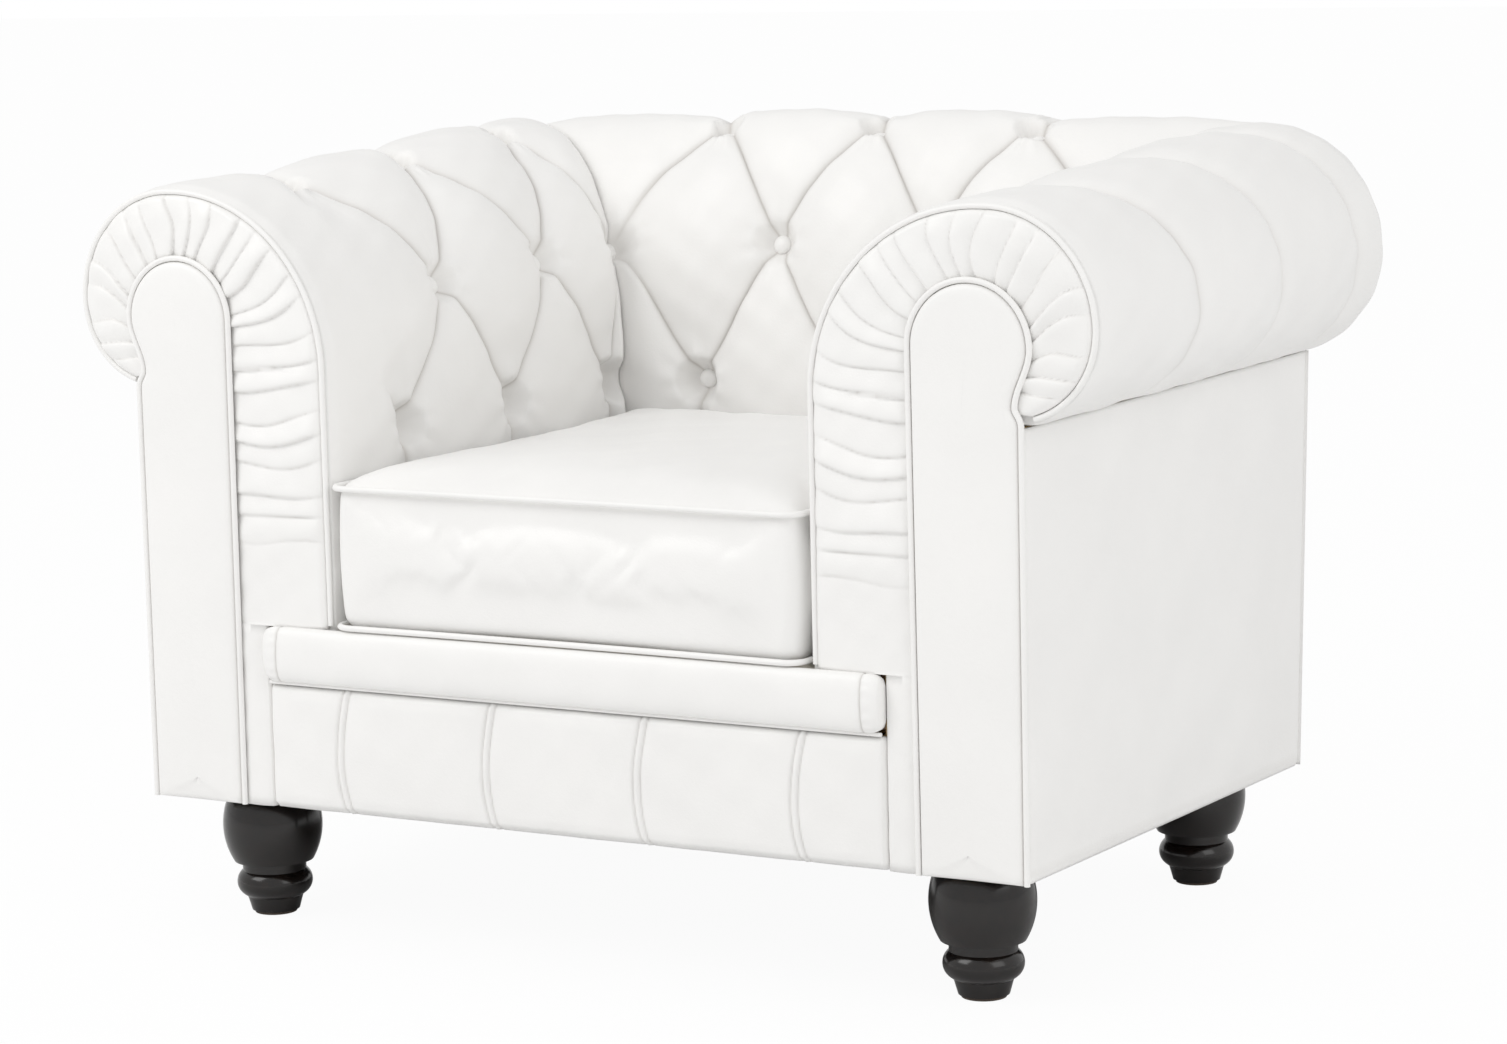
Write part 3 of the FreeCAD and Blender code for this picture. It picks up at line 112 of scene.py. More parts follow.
floor_paint = bpy.data.materials.new("studio_floor_paint")
floor_paint.use_nodes = True
tree = floor_paint.node_tree
tree.nodes.clear()
path = add(tree, "ShaderNodeLightPath")
share = add(tree, "ShaderNodeMath", {"operation": "MULTIPLY"},
            {0: path.outputs["Is Camera Ray"], 1: 0.95})
matt = add(tree, "ShaderNodeBsdfDiffuse", None, {"Color": linear("#F2F2F2")})
glow = add(tree, "ShaderNodeEmission", None, {"Color": (1, 1, 1, 1), "Strength": 1.0})
mixed = add(tree, "ShaderNodeMixShader", None,
            {0: share.outputs[0], 1: matt.outputs[0], 2: glow.outputs[0]})
add(tree, "ShaderNodeOutputMaterial", None, {"Surface": mixed.outputs[0]})
floor_mesh = bpy.data.meshes.new("studio_floor")
floor_mesh.from_pydata([(-30, -30, 0), (30, -30, 0), (30, 30, 0), (-30, 30, 0)], [], [(0, 1, 2, 3)])
floor_mesh.materials.append(floor_paint)
floor = bpy.data.objects.new("studio_floor", floor_mesh)
bpy.context.collection.objects.link(floor)


# The timber inside: beech rails and blocks, planed and left bare, and plywood and hardboard
# boards, sawn. The covers hide all of it, and the joints are glued and bolted.
def fresh(name):
    """A new material with one Principled shader; returns the tree and the shader."""
    material = bpy.data.materials.new(name)
    material.use_nodes = True
    tree = material.node_tree
    tree.nodes.clear()
    shader = add(tree, "ShaderNodeBsdfPrincipled")
    add(tree, "ShaderNodeOutputMaterial", None, {"Surface": shader.outputs[0]})
    return material, tree, shader


def noise(tree, where, scale, detail, distortion=0.0):
    return add(tree, "ShaderNodeTexNoise", None,
               {"Vector": where, "Scale": scale, "Detail": detail, "Distortion": distortion}).outputs[0]


def ramp(tree, value, dark_at, dark, light_at, light):
    """Two colours, blended between two shares of a value."""
    blend = add(tree, "ShaderNodeValToRGB", None, {0: value})
    for stop, at, colour in zip(blend.color_ramp.elements, (dark_at, light_at), (dark, light)):
        stop.position = at
        stop.color = linear(colour)
    return blend.outputs[0]


def bump(tree, height, strength, depth):
    return add(tree, "ShaderNodeBump", None,
               {"Strength": strength, "Distance": depth, "Height": height}).outputs[0]


def dress(tree, shader, **sockets):
    """Links outputs to the shader: Base_Color, Normal or Roughness."""
    for socket, output in sockets.items():
        tree.links.new(output, shader.inputs[socket.replace("_", " ")])


def timber(name, light, dark, grain_mm, rough):
    """Wood: darker bands of grain along the piece, over fine pores."""
    material, tree, shader = fresh(name)
    where = add(tree, "ShaderNodeTexCoord").outputs["Object"]
    grain = add(tree, "ShaderNodeMapping", None, {"Vector": where, "Scale": (1.0, 0.12, 1.0)})
    bands = noise(tree, grain.outputs[0], 1000 / grain_mm, 4.0, 0.6)
    dress(tree, shader, Base_Color=ramp(tree, bands, 0.32, dark, 0.68, light),
          Normal=bump(tree, bands, 0.25, 0.0004))
    shader.inputs["Roughness"].default_value = rough
    return material


def metal(name, colour, rough, spots_mm):
    """Plated or oiled steel: one colour, and a roughness that changes in small spots."""
    material, tree, shader = fresh(name)
    where = add(tree, "ShaderNodeTexCoord").outputs["Object"]
    spots = noise(tree, where, 1000 / spots_mm, 3.0)
    gloss = add(tree, "ShaderNodeMapRange", None,
                {"Value": spots, "To Min": rough - 0.08, "To Max": rough + 0.1})
    shader.inputs["Base Color"].default_value = linear(colour)
    shader.inputs["Metallic"].default_value = 1.0
    dress(tree, shader, Roughness=gloss.outputs[0])
    return material


def woven(name, light, dark, thread_mm, rough, slant=0.0):
    """Cloth: over-and-under threads at their own spacing, shaded by a little dust and wear."""
    material, tree, shader = fresh(name)
    where = add(tree, "ShaderNodeTexCoord").outputs["Object"]
    turned = add(tree, "ShaderNodeMapping", None, {"Vector": where, "Rotation": (0, 0, slant)})
    scale = 1000 / thread_mm / 6.2832 * 3.14
    warp, weft = (add(tree, "ShaderNodeTexWave", {"wave_type": "BANDS", "bands_direction": axis},
                      {"Vector": turned.outputs[0], "Scale": scale, "Distortion": 0.4}).outputs[1]
                  for axis in "XY")
    threads = add(tree, "ShaderNodeMath", {"operation": "MULTIPLY"}, {0: warp, 1: weft}).outputs[0]
    shade = add(tree, "ShaderNodeMath", {"operation": "MULTIPLY_ADD", "use_clamp": True},
                {0: threads, 1: 0.6, 2: 0.0})
    mixed = add(tree, "ShaderNodeMath", {"operation": "MULTIPLY_ADD", "use_clamp": True},
                {0: noise(tree, where, 24.0, 4.0), 1: 0.5, 2: shade.outputs[0]})
    dress(tree, shader, Base_Color=ramp(tree, mixed.outputs[0], 0.0, dark, 0.85, light),
          Normal=bump(tree, threads, 0.5, thread_mm / 4000))
    shader.inputs["Roughness"].default_value = rough
    shader.inputs["Sheen Weight"].default_value = 0.2
    return material


finishes = {
    # planed beech: pinkish straw with short darker flecks
    "frame_hardwood": timber("planed_beech", "#D9B78C", "#B98F62", 9, 0.62),
    # birch plywood: pale, broad flame grain
    "plywood": timber("birch_plywood", "#DEC59A", "#C19E6C", 24, 0.66),
    # hardboard: dark brown pressed fibre, nearly even
    "hardboard": timber("pressed_hardboard", "#7A563A", "#5E402A", 3, 0.55),
    # zinc plate on nuts, bolts and clips: pale grey, slightly cloudy
    "zinc_steel": metal("zinc_plated_steel", "#C9CAC6", 0.34, 4),
    # spring wire: dark oiled steel
    "spring_steel": metal("oiled_spring_wire", "#6B6E73", 0.3, 6),
    # jute hessian: coarse open threads, drawn at 2.4 mm
    "hessian": woven("jute_hessian", "#C6A77A", "#83683F", 2.4, 0.92),
    # elastic webbing: dark, ribbed across
    "webbing": woven("elastic_webbing", "#55504A", "#2C2926", 2.0, 0.8, 0.785),
    # wool felt of the glides: warm grey brown, matt
    "felt_glide": woven("pressed_wool_felt", "#6E6258", "#4A4038", 1.6, 0.95, 0.4),
}
inside = ("frame_hardwood", "plywood", "hardboard", "zinc_steel", "spring_steel", "hessian", "webbing",
          "felt_glide")
for part in frame["record"]["subparts"]:
    if part["material_slot"] in inside:
        for holder in frame["nodes"][part["node"]].material_slots:
            holder.material = finishes[part["material_slot"]]

# The feet: four turned hardwood feet, a ball over a bead and a flared toe, in a dark brown
# satin lacquer. Each is bolted into a tee nut in its corner block and stands on a felt glide.
foot_lacquer, tree, shader = fresh("dark_brown_satin_lacquer")
# Lacquer over stained beech: near black, its rings barely lighter, a clear coat on top.
where = add(tree, "ShaderNodeTexCoord").outputs["Object"]
rings = noise(tree, where, 90.0, 5.0, 1.2)
gloss = add(tree, "ShaderNodeMapRange", None, {"Value": rings, "To Min": 0.14, "To Max": 0.26})
dress(tree, shader, Base_Color=ramp(tree, rings, 0.35, "#0D0907", 0.7, "#19110D"),
      Roughness=gloss.outputs[0], Normal=bump(tree, rings, 0.15, 0.0003))
shader.inputs["Coat Weight"].default_value = 0.15
shader.inputs["Coat Roughness"].default_value = 0.08
for corner in ("front_left", "front_right", "rear_left", "rear_right"):
    for holder in frame["nodes"]["foot_" + corner].material_slots:
        holder.material = foot_lacquer

# The arm pads: deep buttoned foam under white leatherette, drawn down to the scroll boards
# with twine. Diamonds stand between sharp folds, which run straight over the top of the roll.
leatherette, tree, shader = fresh("white_leatherette")
# Coated cloth with a pressed grain: warm white and satin, its colour darkened by painted shade along folds,
# seams and button pits.
# The real grain is about 1 mm; it is drawn at 2.2 mm, with soft creases of 14 mm, so it shows.
where = add(tree, "ShaderNodeTexCoord").outputs["Object"]
painted_fold_shade = add(tree, "ShaderNodeAttribute", {"attribute_name": "painted_fold_shade"})
clouds = ramp(tree, noise(tree, where, 9.0, 3.0), 0.3, "#F3F2F0", 0.7, "#F6F5F3")
# Painted shade: the colour is multiplied by a light grey as far as a piece's points carry fold shade.
shaded = add(tree, "ShaderNodeMix", {"data_type": "RGBA", "blend_type": "MULTIPLY"},
             {0: painted_fold_shade.outputs["Fac"], 6: clouds, 7: linear("#DAD7D4")})
grain = add(tree, "ShaderNodeTexVoronoi", {"feature": "F1"},
            {"Vector": where, "Scale": 1000 / 2.2, "Randomness": 0.9})
heights = add(tree, "ShaderNodeMath", {"operation": "MULTIPLY_ADD"},
              {0: noise(tree, where, 1000 / 14, 5.0, 0.8), 1: 2.2, 2: grain.outputs["Distance"]})
gloss = add(tree, "ShaderNodeMapRange", None,
            {"Value": grain.outputs["Distance"], "From Max": 0.6, "To Min": 0.36, "To Max": 0.46})
dress(tree, shader, Base_Color=shaded.outputs[2], Roughness=gloss.outputs[0],
      Normal=bump(tree, heights.outputs[0], 0.16, 0.0005))

# The chair's main sizes in millimetres: from its middle plane, from the floor, and in depth from
# the front plane, which lies before the middle of the whole.
front_plane, frame_low = 396.5, 128
seat_half, seat_depth, arm_reach, back_reach = 262.5, 575, 294, 223
corner_out, corner_back, corner_reach = 264.5, 192, 326.8
first_button, last_button, slanted = 165, 557, 83.3
arm_front, arm_rear = 16.3, 574.7
welt_radius, piping_radius, cord_radius = 2.8, 3.0, 2.0
sides = (("left", False), ("right", True))


def metres(points):
    """Points counted in millimetres from the front plane, in the frame of the object."""
    return (np.asarray(points, float) - (0, front_plane, 0)) / 1000


def with_frame(item, body):
    """Puts a piece in the scene, on its body."""
    bpy.context.collection.objects.link(item)
    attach(item, body)
    return item


def made(name, points, faces, painted_fold_shade=None, mirror=False, finish=leatherette, body="frame",
         slot="leatherette"):
    """A mesh piece with its normals outwards, its fold shading and its body."""
    points = metres(points).reshape(-1, 3)
    if mirror:
        points = points * (-1, 1, 1)
    volume = 0.0
    for size in {len(face) for face in faces}:
        corners = points[np.array([face for face in faces if len(face) == size])]
        fans = np.cross(corners[:, 1:-1], corners[:, 2:])
        volume += np.einsum("ij,ikj->", corners[:, 0], fans)
    if volume < 0:
        faces = [face[::-1] for face in faces]
    mesh = bpy.data.meshes.new(name)
    mesh.from_pydata(points.tolist(), [], faces)
    mesh.materials.append(finish)
    mesh.polygons.foreach_set("use_smooth", [True] * len(mesh.polygons))
    # The painted shade of folds and seams goes on the points, for the leatherette to darken its colour by.
    if painted_fold_shade is not None:
        layer = mesh.attributes.new("painted_fold_shade", "FLOAT", "POINT")
        layer.data.foreach_set("value", np.asarray(painted_fold_shade, float).ravel())
    return with_frame(bpy.data.objects.new(name, mesh), body)


def shell(rows, columns):
    """Faces of a closed shell: rings of points joined one after another, and both ends capped."""
    faces = []
    j = np.arange(columns)
    for i in range(rows - 1):
        a, b = i * columns + j, i * columns + (j + 1) % columns
        faces += np.stack([a, b, b + columns, a + columns], 1).tolist()
    faces.append(tuple(range(columns - 1, -1, -1)))
    faces.append(tuple(range((rows - 1) * columns, rows * columns)))
    return faces


def stuffed(piece, fill, *nodes):
    """Hides the CAD nodes that a padded piece stands for; the piece and how full it is are not used."""
    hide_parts(*nodes)


def two_sided(name, seen, hidden, painted_fold_shade=None, mirror=False, **kinds):
    """A piece with a modelled side and a plain one behind it, both as grids of points."""
    layers = np.concatenate([seen, hidden[:, ::-1]], 1)
    if painted_fold_shade is not None:
        painted_fold_shade = np.concatenate([painted_fold_shade, 0 * painted_fold_shade], 1)
    return made(name, layers, shell(*layers.shape[:2]), painted_fold_shade, mirror, **kinds)


def ripple(points, length):
    """A soft unevenness from -1 to 1 with a given wave length, the same on every run."""
    x, y, z = (points[..., i] * 6.2832 / length for i in range(3))
    return (np.sin(1.3 * x + 0.7 * y + 1.9 * z + 0.4) + np.sin(0.8 * y - 1.7 * z + 2.1 * x + 1.7)
            + np.sin(1.9 * z + 1.1 * x - 1.3 * y + 2.9)) / 3


def smooth(value):
    value = np.clip(value, 0, 1)
    return value * value * (3 - 2 * value)


crest_z, sweep_z, roll_z, under_z = 738, 562, 625, 537
roll_radius, tuck_radius, sweep_rise = 113, 88, 176
row_low, pad_bottom = 492, 257
top_angle, middle_angle = math.radians(78), math.radians(22.5)
fold_depth, button_depth, top_button_depth = 22, 34, 23
cells = 40
core = [(70, pad_bottom), (70, 548), (110, 640), (160, 668), (212.5, 668), (236.5, 640), (236.5, 601),
        (212.5, 573), (127, 573), (127, under_z)]


def section(reach):
    """The scroll across a pad: part of the reach, height, inward normal, button row, fold strength."""
    reach = np.asarray(reach, float)[:, None]
    crest, tuck = 1 - roll_radius / reach, 1 - tuck_radius / reach
    stores = [], [], [], [], [], []

    def take(part, height, out, up, row, fade):
        shape = (reach.shape[0], np.size(height))
        for values, store in zip((part, height, out, up, row, fade), stores):
            store.append(np.broadcast_to(values, shape).astype(float))

    share = np.linspace(1, 0, 9)[:-1]
    take(tuck + (139 / arm_reach - tuck) * share, under_z + 0 * share, 0, 1, 1, 0)
    angle = np.linspace(-math.pi / 2, 0, 44)[:-1]
    take(tuck + (1 - tuck) * np.cos(angle), roll_z + tuck_radius * np.sin(angle), -np.cos(angle),
         -np.sin(angle), 1, (0.55 + 0.4 * angle / (math.pi / 2)) * smooth((angle + math.pi / 2) / 0.6))
    angle = np.linspace(0, math.pi / 2, 56)[:-1]
    take(crest + (1 - crest) * np.cos(angle), roll_z + roll_radius * np.sin(angle), -np.cos(angle),
         -np.sin(angle), 1, 0.55 + 0.45 * angle / (math.pi / 2))
    angle = np.concatenate([np.linspace(math.pi / 2, top_angle, 12)[:-1],
                            np.linspace(top_angle, middle_angle, cells + 1)[:-1],
                            np.linspace(middle_angle, 0, cells // 2 + 1)[:-1]])
    wide = crest * reach
    long = np.hypot(sweep_rise * np.cos(angle), wide * np.sin(angle))
    row = np.where(angle >= top_angle, 1.0,
                   np.where(angle >= middle_angle, 1 + (top_angle - angle) / (top_angle - middle_angle),
                            2 + 0.5 * (middle_angle - angle) / middle_angle))
    take(crest * (1 - np.cos(angle)), sweep_z + sweep_rise * np.sin(angle),
         sweep_rise * np.cos(angle) / long, -wide * np.sin(angle) / long, row, 1.0)
    height = np.linspace(sweep_z, row_low, cells // 2 + 1)[:-1]
    take(0, height, 1, 0, 3 - 0.5 * (height - row_low) / (sweep_z - row_low), 1.0)
    height = np.linspace(row_low, pad_bottom, 60)
    take(0, height, 1, 0, 3, (height - pad_bottom) / (row_low - pad_bottom))
    return [np.concatenate(store, 1) for store in stores]


def stations(counts, table):
    """The plan of every station: values between the ones in the table run straight."""
    return [np.interp(counts, table["count"], table[key])[:, None]
            for key in ("inner_along", "inner_out", "outer_along", "outer_out", "reach", "slant", "rise")]


def plan(part, plans):
    """Where a part of the reach lies in plan: along the pad, and outwards."""
    inner_along, inner_out, outer_along, outer_out, reach, slant, rise = plans
    turn_part = (1 - roll_radius / reach) * (1 - math.cos(top_angle))
    late = np.clip((part - turn_part) / (1 - turn_part), 0, None)
    shift = slant * part + (1 - slant) * late
    return inner_along + (outer_along - inner_along) * shift, inner_out + (outer_out - inner_out) * part


def climbed(high, rise):
    """Heights over the underside of the roll, stretched where the crest stands higher."""
    return np.where(high > under_z, under_z + (high - under_z) * (1 + rise / (crest_z - under_z)), high)


def pad_points(counts, table, across, seats, front_edge, top_depth):
    """The skin of a pad: its scroll pressed in along the folds and at the buttons, and its painted shade."""
    steps = counts if across else np.abs(counts)
    plans = stations(steps, table)
    part, height, out, up, row, fade = section(plans[4][:, 0])
    count = steps[:, None] + 0 * part
    one = np.abs(np.mod(count + row, 2) - 1)
    two = np.abs(np.mod(count - row, 2) - 1)
    near, far = np.minimum(one, two), np.maximum(one, two)
    puff = np.sin(math.pi * one / 2) * np.sin(math.pi * two / 2)
    last = table["count"][-1]
    mitre = np.sin(math.pi / 2 * np.clip((last - count) / 0.5, 0, 1)) ** 0.8
    on_face = smooth((row - 1) / 0.4) * smooth((3 - row) / 0.4)
    puff = puff * mitre
    full = fold_depth * (1 - puff ** 0.6) * (1 - 0.25 * np.sin(math.pi * far / 2) ** 2)
    from_fold = np.minimum(near, last - count) * 95
    narrow = top_depth * np.exp(-from_fold / 11) + 2.5 * (1 - puff)
    low = smooth((row - 2.6) / 0.4)
    narrow = narrow * (1 - low) + low * (15 * np.exp(-from_fold / 14) + 4 * (1 - puff))
    press = fade * (full * on_face + narrow * (1 - on_face))
    if front_edge:
        quiet = smooth((count + 0.42) / 0.42)
        press = press * quiet + 3 * smooth((-0.9 - count) / 0.1)

    def at(press_in, slide, ahead_by):
        high = climbed(height + up * press_in - out * slide, plans[6])
        along, away = plan(part + (out * press_in + up * slide) / plans[4], plans)
        if not across:
            along = along * np.sign(counts)[:, None]
        along = along + ahead_by
        return np.stack([away, along, high] if across else [along, away, high], -1)

    bare = at(0 * press, 0 * press, 0)
    near_button = np.full(part.shape, 1e3)
    angle_round = np.zeros(part.shape)
    sunk = np.zeros(part.shape)
    for seat, deep in seats:
        offset = bare - seat
        distance = np.linalg.norm(offset, axis=-1)
        closer = distance < near_button
        near_button = np.where(closer, distance, near_button)
        sunk = np.where(closer, deep, sunk)
        direction = np.arctan2(offset[..., 2], offset[..., 1 if across else 0])
        angle_round = np.where(closer, direction, angle_round)
    wide = np.where(sunk < button_depth, 21, 28)
    pit = smooth((wide - near_button) / (wide - 9))
    press = press * (1 - pit) + sunk * pit
    pucker = np.exp(-((near_button - 30) / 14) ** 2) * np.sin(9 * angle_round + count)
    press = press + 0.9 * pucker + 0.8 * ripple(bare, 90)
    above_one, above_two = -(np.mod(count + row, 2) - 1), np.mod(count - row, 2) - 1
    lap = sum(np.exp(-((above - 0.05) / 0.09) ** 2) * far for above in (above_one, above_two))
    slide = 3.5 * lap * on_face * (1 - pit) * fade
    top = (row <= 1.001) * fade * (1 - pit) * smooth(mitre * 2)
    behind = np.mod(count + 1, 2) - 1
    if front_edge:
        top = top * (count > -0.5)
    lapped = np.exp(-((behind + 0.05) / 0.08) ** 2) * top
    press = press + 1.6 * np.exp(-np.clip(behind, 0, 9) / 0.25) * (behind > 0) * top
    points = at(press, slide, 2.5 * lapped)
    # Painted shade: darker along every fold line and, below, round each button pit.
    shade = np.exp(-near / 0.03) * np.clip(fade, 0, 1) * mitre
    if front_edge:
        shade = shade * smooth((count + 0.3) / 0.3)
    shade = np.maximum(shade, 0.35 * smooth((20 - near_button) / 11))
    hollow = []
    for away, high in core:
        away = away if across else away * corner_back / corner_out
        along_core, away_core = plan(away / (plans[3] - plans[1]), plans)
        if not across:
            along_core = along_core * np.sign(counts)[:, None]
        high = high + 0 * along_core
        pair = [away_core, along_core, high] if across else [along_core, away_core, high]
        hollow.append(np.stack(pair, -1))
    points = np.concatenate([points] + hollow, 1)
    shade = np.concatenate([shade, np.zeros((len(counts), len(core)))], 1)
    return points, shade


def pad_faces(points, counts, rows):
    """Triangles of the skin, split along the nearest fold so that the fold stays crisp."""
    length, ring = points.shape[:2]
    faces = []
    for i in range(length - 1):
        for j in range(ring):
            a, b = i * ring + j, i * ring + (j + 1) % ring
            c, d = (i + 1) * ring + (j + 1) % ring, (i + 1) * ring + j
            if j + 1 < len(rows) and 1 <= rows[j] <= 3 and rows[j] != rows[j + 1]:
                middle_count = abs(counts[i] + counts[i + 1]) / 2
                middle_row = (rows[j] + rows[j + 1]) / 2
                one = abs((middle_count + middle_row) % 2 - 1)
                two = abs((middle_count - middle_row) % 2 - 1)
                flipped = (one < two) != (counts[i] + counts[i + 1] < 0)
                faces += [(a, b, d), (b, c, d)] if flipped else [(a, b, c), (a, c, d)]
            else:
                faces.append((a, b, c, d))
    faces.append(tuple(range(ring - 1, -1, -1)))
    faces.append(tuple(range((length - 1) * ring, length * ring)))
    return faces


arm_table = {
    "count": [-1, 0, 4, 4.5, 5],
    "inner_along": [arm_front, first_button, last_button, (last_button + arm_rear) / 2, arm_rear],
    "inner_out": [seat_half] * 5,
    "outer_along": [arm_front, first_button + slanted, last_button + slanted, 698.6,
                    arm_rear + corner_back],
    "outer_out": [seat_half + out for out in [arm_reach] * 3 + [arm_reach - 2, corner_out]],
    "reach": [arm_reach] * 3 + [arm_reach + 10, corner_reach],
    "slant": [0, 0, 0, 0.5, 1],
    "rise": [0, 6.2, 32, 32, 32],
}
back_table = {
    "count": [0, 1.5, 2, 2.5, 3],
    "inner_along": [0, 136.5, 182, 223.5, seat_half],
    "inner_out": [seat_depth] * 5,
    "outer_along": [0, 177.5, 236.6, 389.3, seat_half + corner_out],
    "outer_out": [seat_depth + out for out in [back_reach] * 3 + [back_reach - 2, corner_back]],
    "reach": [back_reach] * 3 + [back_reach + 40, corner_reach],
    "slant": [0, 0, 0, 0.5, 1],
    "rise": [40, 40, 37.3, 34.7, 32],
}


def seat_of(count, row, table, across):
    """The place on the unpressed skin over a button, and the button's seat and way out."""
    plans = stations(np.array([abs(count)]), table)
    part, height, out, up, rows, fade = section(plans[4][:, 0])
    if row == 3:
        j = int(np.argmax(rows[0] >= 3))
    elif row == 2:
        j = int(np.argmin(np.abs(rows[0] - 2)))
    else:
        j = int(np.where(rows[0] <= 1)[0][-1]) + 1
        j -= int(rows[0][j] > 1.0001)
    spots = []
    deep = top_button_depth if row == 1 else button_depth
    for press_in in (0, deep, deep - 10):
        high = float(climbed(height[0, j] + up[0, j] * press_in, plans[6][0, 0]))
        along, away = plan(part[:, j:j + 1] + out[0, j] * press_in / plans[4], plans)
        along, away = float(along[0, 0]) * (-1 if count < 0 else 1), float(away[0, 0])
        spots.append(np.array([away, along, high] if across else [along, away, high]))
    way = spots[2] - spots[1]
    return (spots[0], deep), spots[1], way / np.linalg.norm(way)


arm_seats = [seat_of(count, row, arm_table, True) for count in range(6)
             for row in ((1, 3) if count % 2 == 0 else (2,))]
back_seats = [seat_of(count, row, back_table, False) for count in range(-2, 3)
              for row in ((1, 3) if count % 2 == 0 else (2,))]
corner_spot = arm_seats[-1][0][0]
arm_counts = np.linspace(-1, 5, 6 * cells + 1)
arm_points, arm_shade = pad_points(arm_counts, arm_table, True, [seat[0] for seat in arm_seats], True, 12)
arm_rows = section(np.array([arm_reach]))[4][0]
arm_net = pad_faces(arm_points, arm_counts, arm_rows)
for side, mirror in sides:
    arm_pad = made("buttoned_arm_" + side, arm_points, arm_net, arm_shade, mirror)
    stuffed(arm_pad, 0.85, "arm_pad_" + side)

# The back pad: the same buttoned foam and leatherette, drawn to webbing on the back frame
# and mitred into the arm pads at both corners.
back_counts = np.linspace(-3, 3, 6 * cells + 1)
back_counts = np.where(np.abs(back_counts) < 1e-9, 1e-9, back_counts)
all_seats = [seat[0] for seat in back_seats] + [(corner_spot * (sign, 1, 1), button_depth) for sign in (1, -1)]
back_points, back_shade = pad_points(back_counts, back_table, False, all_seats, False, 8)
back_net = pad_faces(back_points, back_counts, arm_rows)
back_pad = made("buttoned_back", back_points, back_net, back_shade)
stuffed(back_pad, 0.85, "back_pad")


# The buttons: domed steel shells covered in the same leatherette, one at every crossing of
# the folds, each pulled down on its twine.
def node_tree(name, inputs):
    """A Geometry Nodes tree with named inputs; returns it and its input node."""
    tree = bpy.data.node_groups.new(name, "GeometryNodeTree")
    tree.interface.new_socket("Geometry", in_out="INPUT", socket_type="NodeSocketGeometry")
    for label, kind, value in inputs:
        made_socket = tree.interface.new_socket(label, in_out="INPUT", socket_type=kind)
        if value is not None:
            made_socket.default_value = value
    tree.interface.new_socket("Geometry", in_out="OUTPUT", socket_type="NodeSocketGeometry")
    return tree, add(tree, "NodeGroupInput")


def finish_tree(tree, start, geometry):
    """Ends a tree: real geometry, smooth, in its material."""
    real = add(tree, "GeometryNodeRealizeInstances", None, {"Geometry": geometry})
    even = add(tree, "GeometryNodeSetShadeSmooth", None, {"Geometry": real.outputs[0]})
    dressed = add(tree, "GeometryNodeSetMaterial", None,
                  {"Geometry": even.outputs[0], "Material": start.outputs["Finish"]})
    add(tree, "NodeGroupOutput", None, {"Geometry": dressed.outputs[0]})


def plain(item):
    """The mesh that an object's modifiers make of it; the modifiers go."""
    bpy.context.view_layer.update()
    mesh = bpy.data.meshes.new_from_object(item.evaluated_get(bpy.context.evaluated_depsgraph_get()))
    item.modifiers.clear()
    return mesh


def grown(host, tree, values, name, body):
    """Runs a tree on its host and keeps the result as a plain mesh piece."""
    modifier = host.modifiers.new("grow", "NODES")
    modifier.node_group = tree
    for item in tree.interface.items_tree:
        if item.item_type == "SOCKET" and item.in_out == "INPUT" and item.name in values:
            modifier[item.identifier] = values[item.name]
    mesh = plain(host)
    bpy.data.objects.remove(host)
    mesh.name = name
    return with_frame(bpy.data.objects.new(name, mesh), body)


button_tree, start = node_tree("covered_buttons", [
    ("Radius", "NodeSocketFloat", 0.01), ("Height", "NodeSocketFloat", 0.006),
    ("Finish", "NodeSocketMaterial", None)])
dome = add(button_tree, "GeometryNodeMeshUVSphere", None, {"Segments": 28, "Rings": 16, "Radius": 1.0})
shape = add(button_tree, "ShaderNodeCombineXYZ", None,
            {0: start.outputs["Radius"], 1: start.outputs["Radius"], 2: start.outputs["Height"]})
sized = add(button_tree, "GeometryNodeTransform", None,
            {"Geometry": dome.outputs[0], "Scale": shape.outputs[0]})
way = add(button_tree, "GeometryNodeInputNamedAttribute", {"data_type": "FLOAT_VECTOR"}, {"Name": "way"})
facing_out = add(button_tree, "FunctionNodeAlignRotationToVector", {"axis": "Z"},
                 {"Vector": way.outputs[0]})
set_on = add(button_tree, "GeometryNodeInstanceOnPoints", None,
             {"Points": start.outputs["Geometry"], "Instance": sized.outputs[0],
              "Rotation": facing_out.outputs[0]})
finish_tree(button_tree, start, set_on.outputs[0])

button_spots = [(seat[1], seat[2]) for seat in back_seats]
for sign in (1, -1):
    button_spots += [(seat[1] * (sign, 1, 1), seat[2] * (sign, 1, 1)) for seat in arm_seats]
spots_mesh = bpy.data.meshes.new("button_spots")
spots_mesh.from_pydata([tuple(metres(spot)) for spot, way in button_spots], [], [])
layer = spots_mesh.attributes.new("way", "FLOAT_VECTOR", "POINT")
layer.data.foreach_set("vector", np.array([way for spot, way in button_spots]).ravel())
spots = bpy.data.objects.new("button_spots", spots_mesh)
bpy.context.collection.objects.link(spots)
buttons = grown(spots, button_tree, {"Radius": 0.0102, "Height": 0.0062, "Finish": leatherette},
                "covered_buttons", "frame")
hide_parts("arm_buttons_left", "arm_buttons_right", "back_buttons")
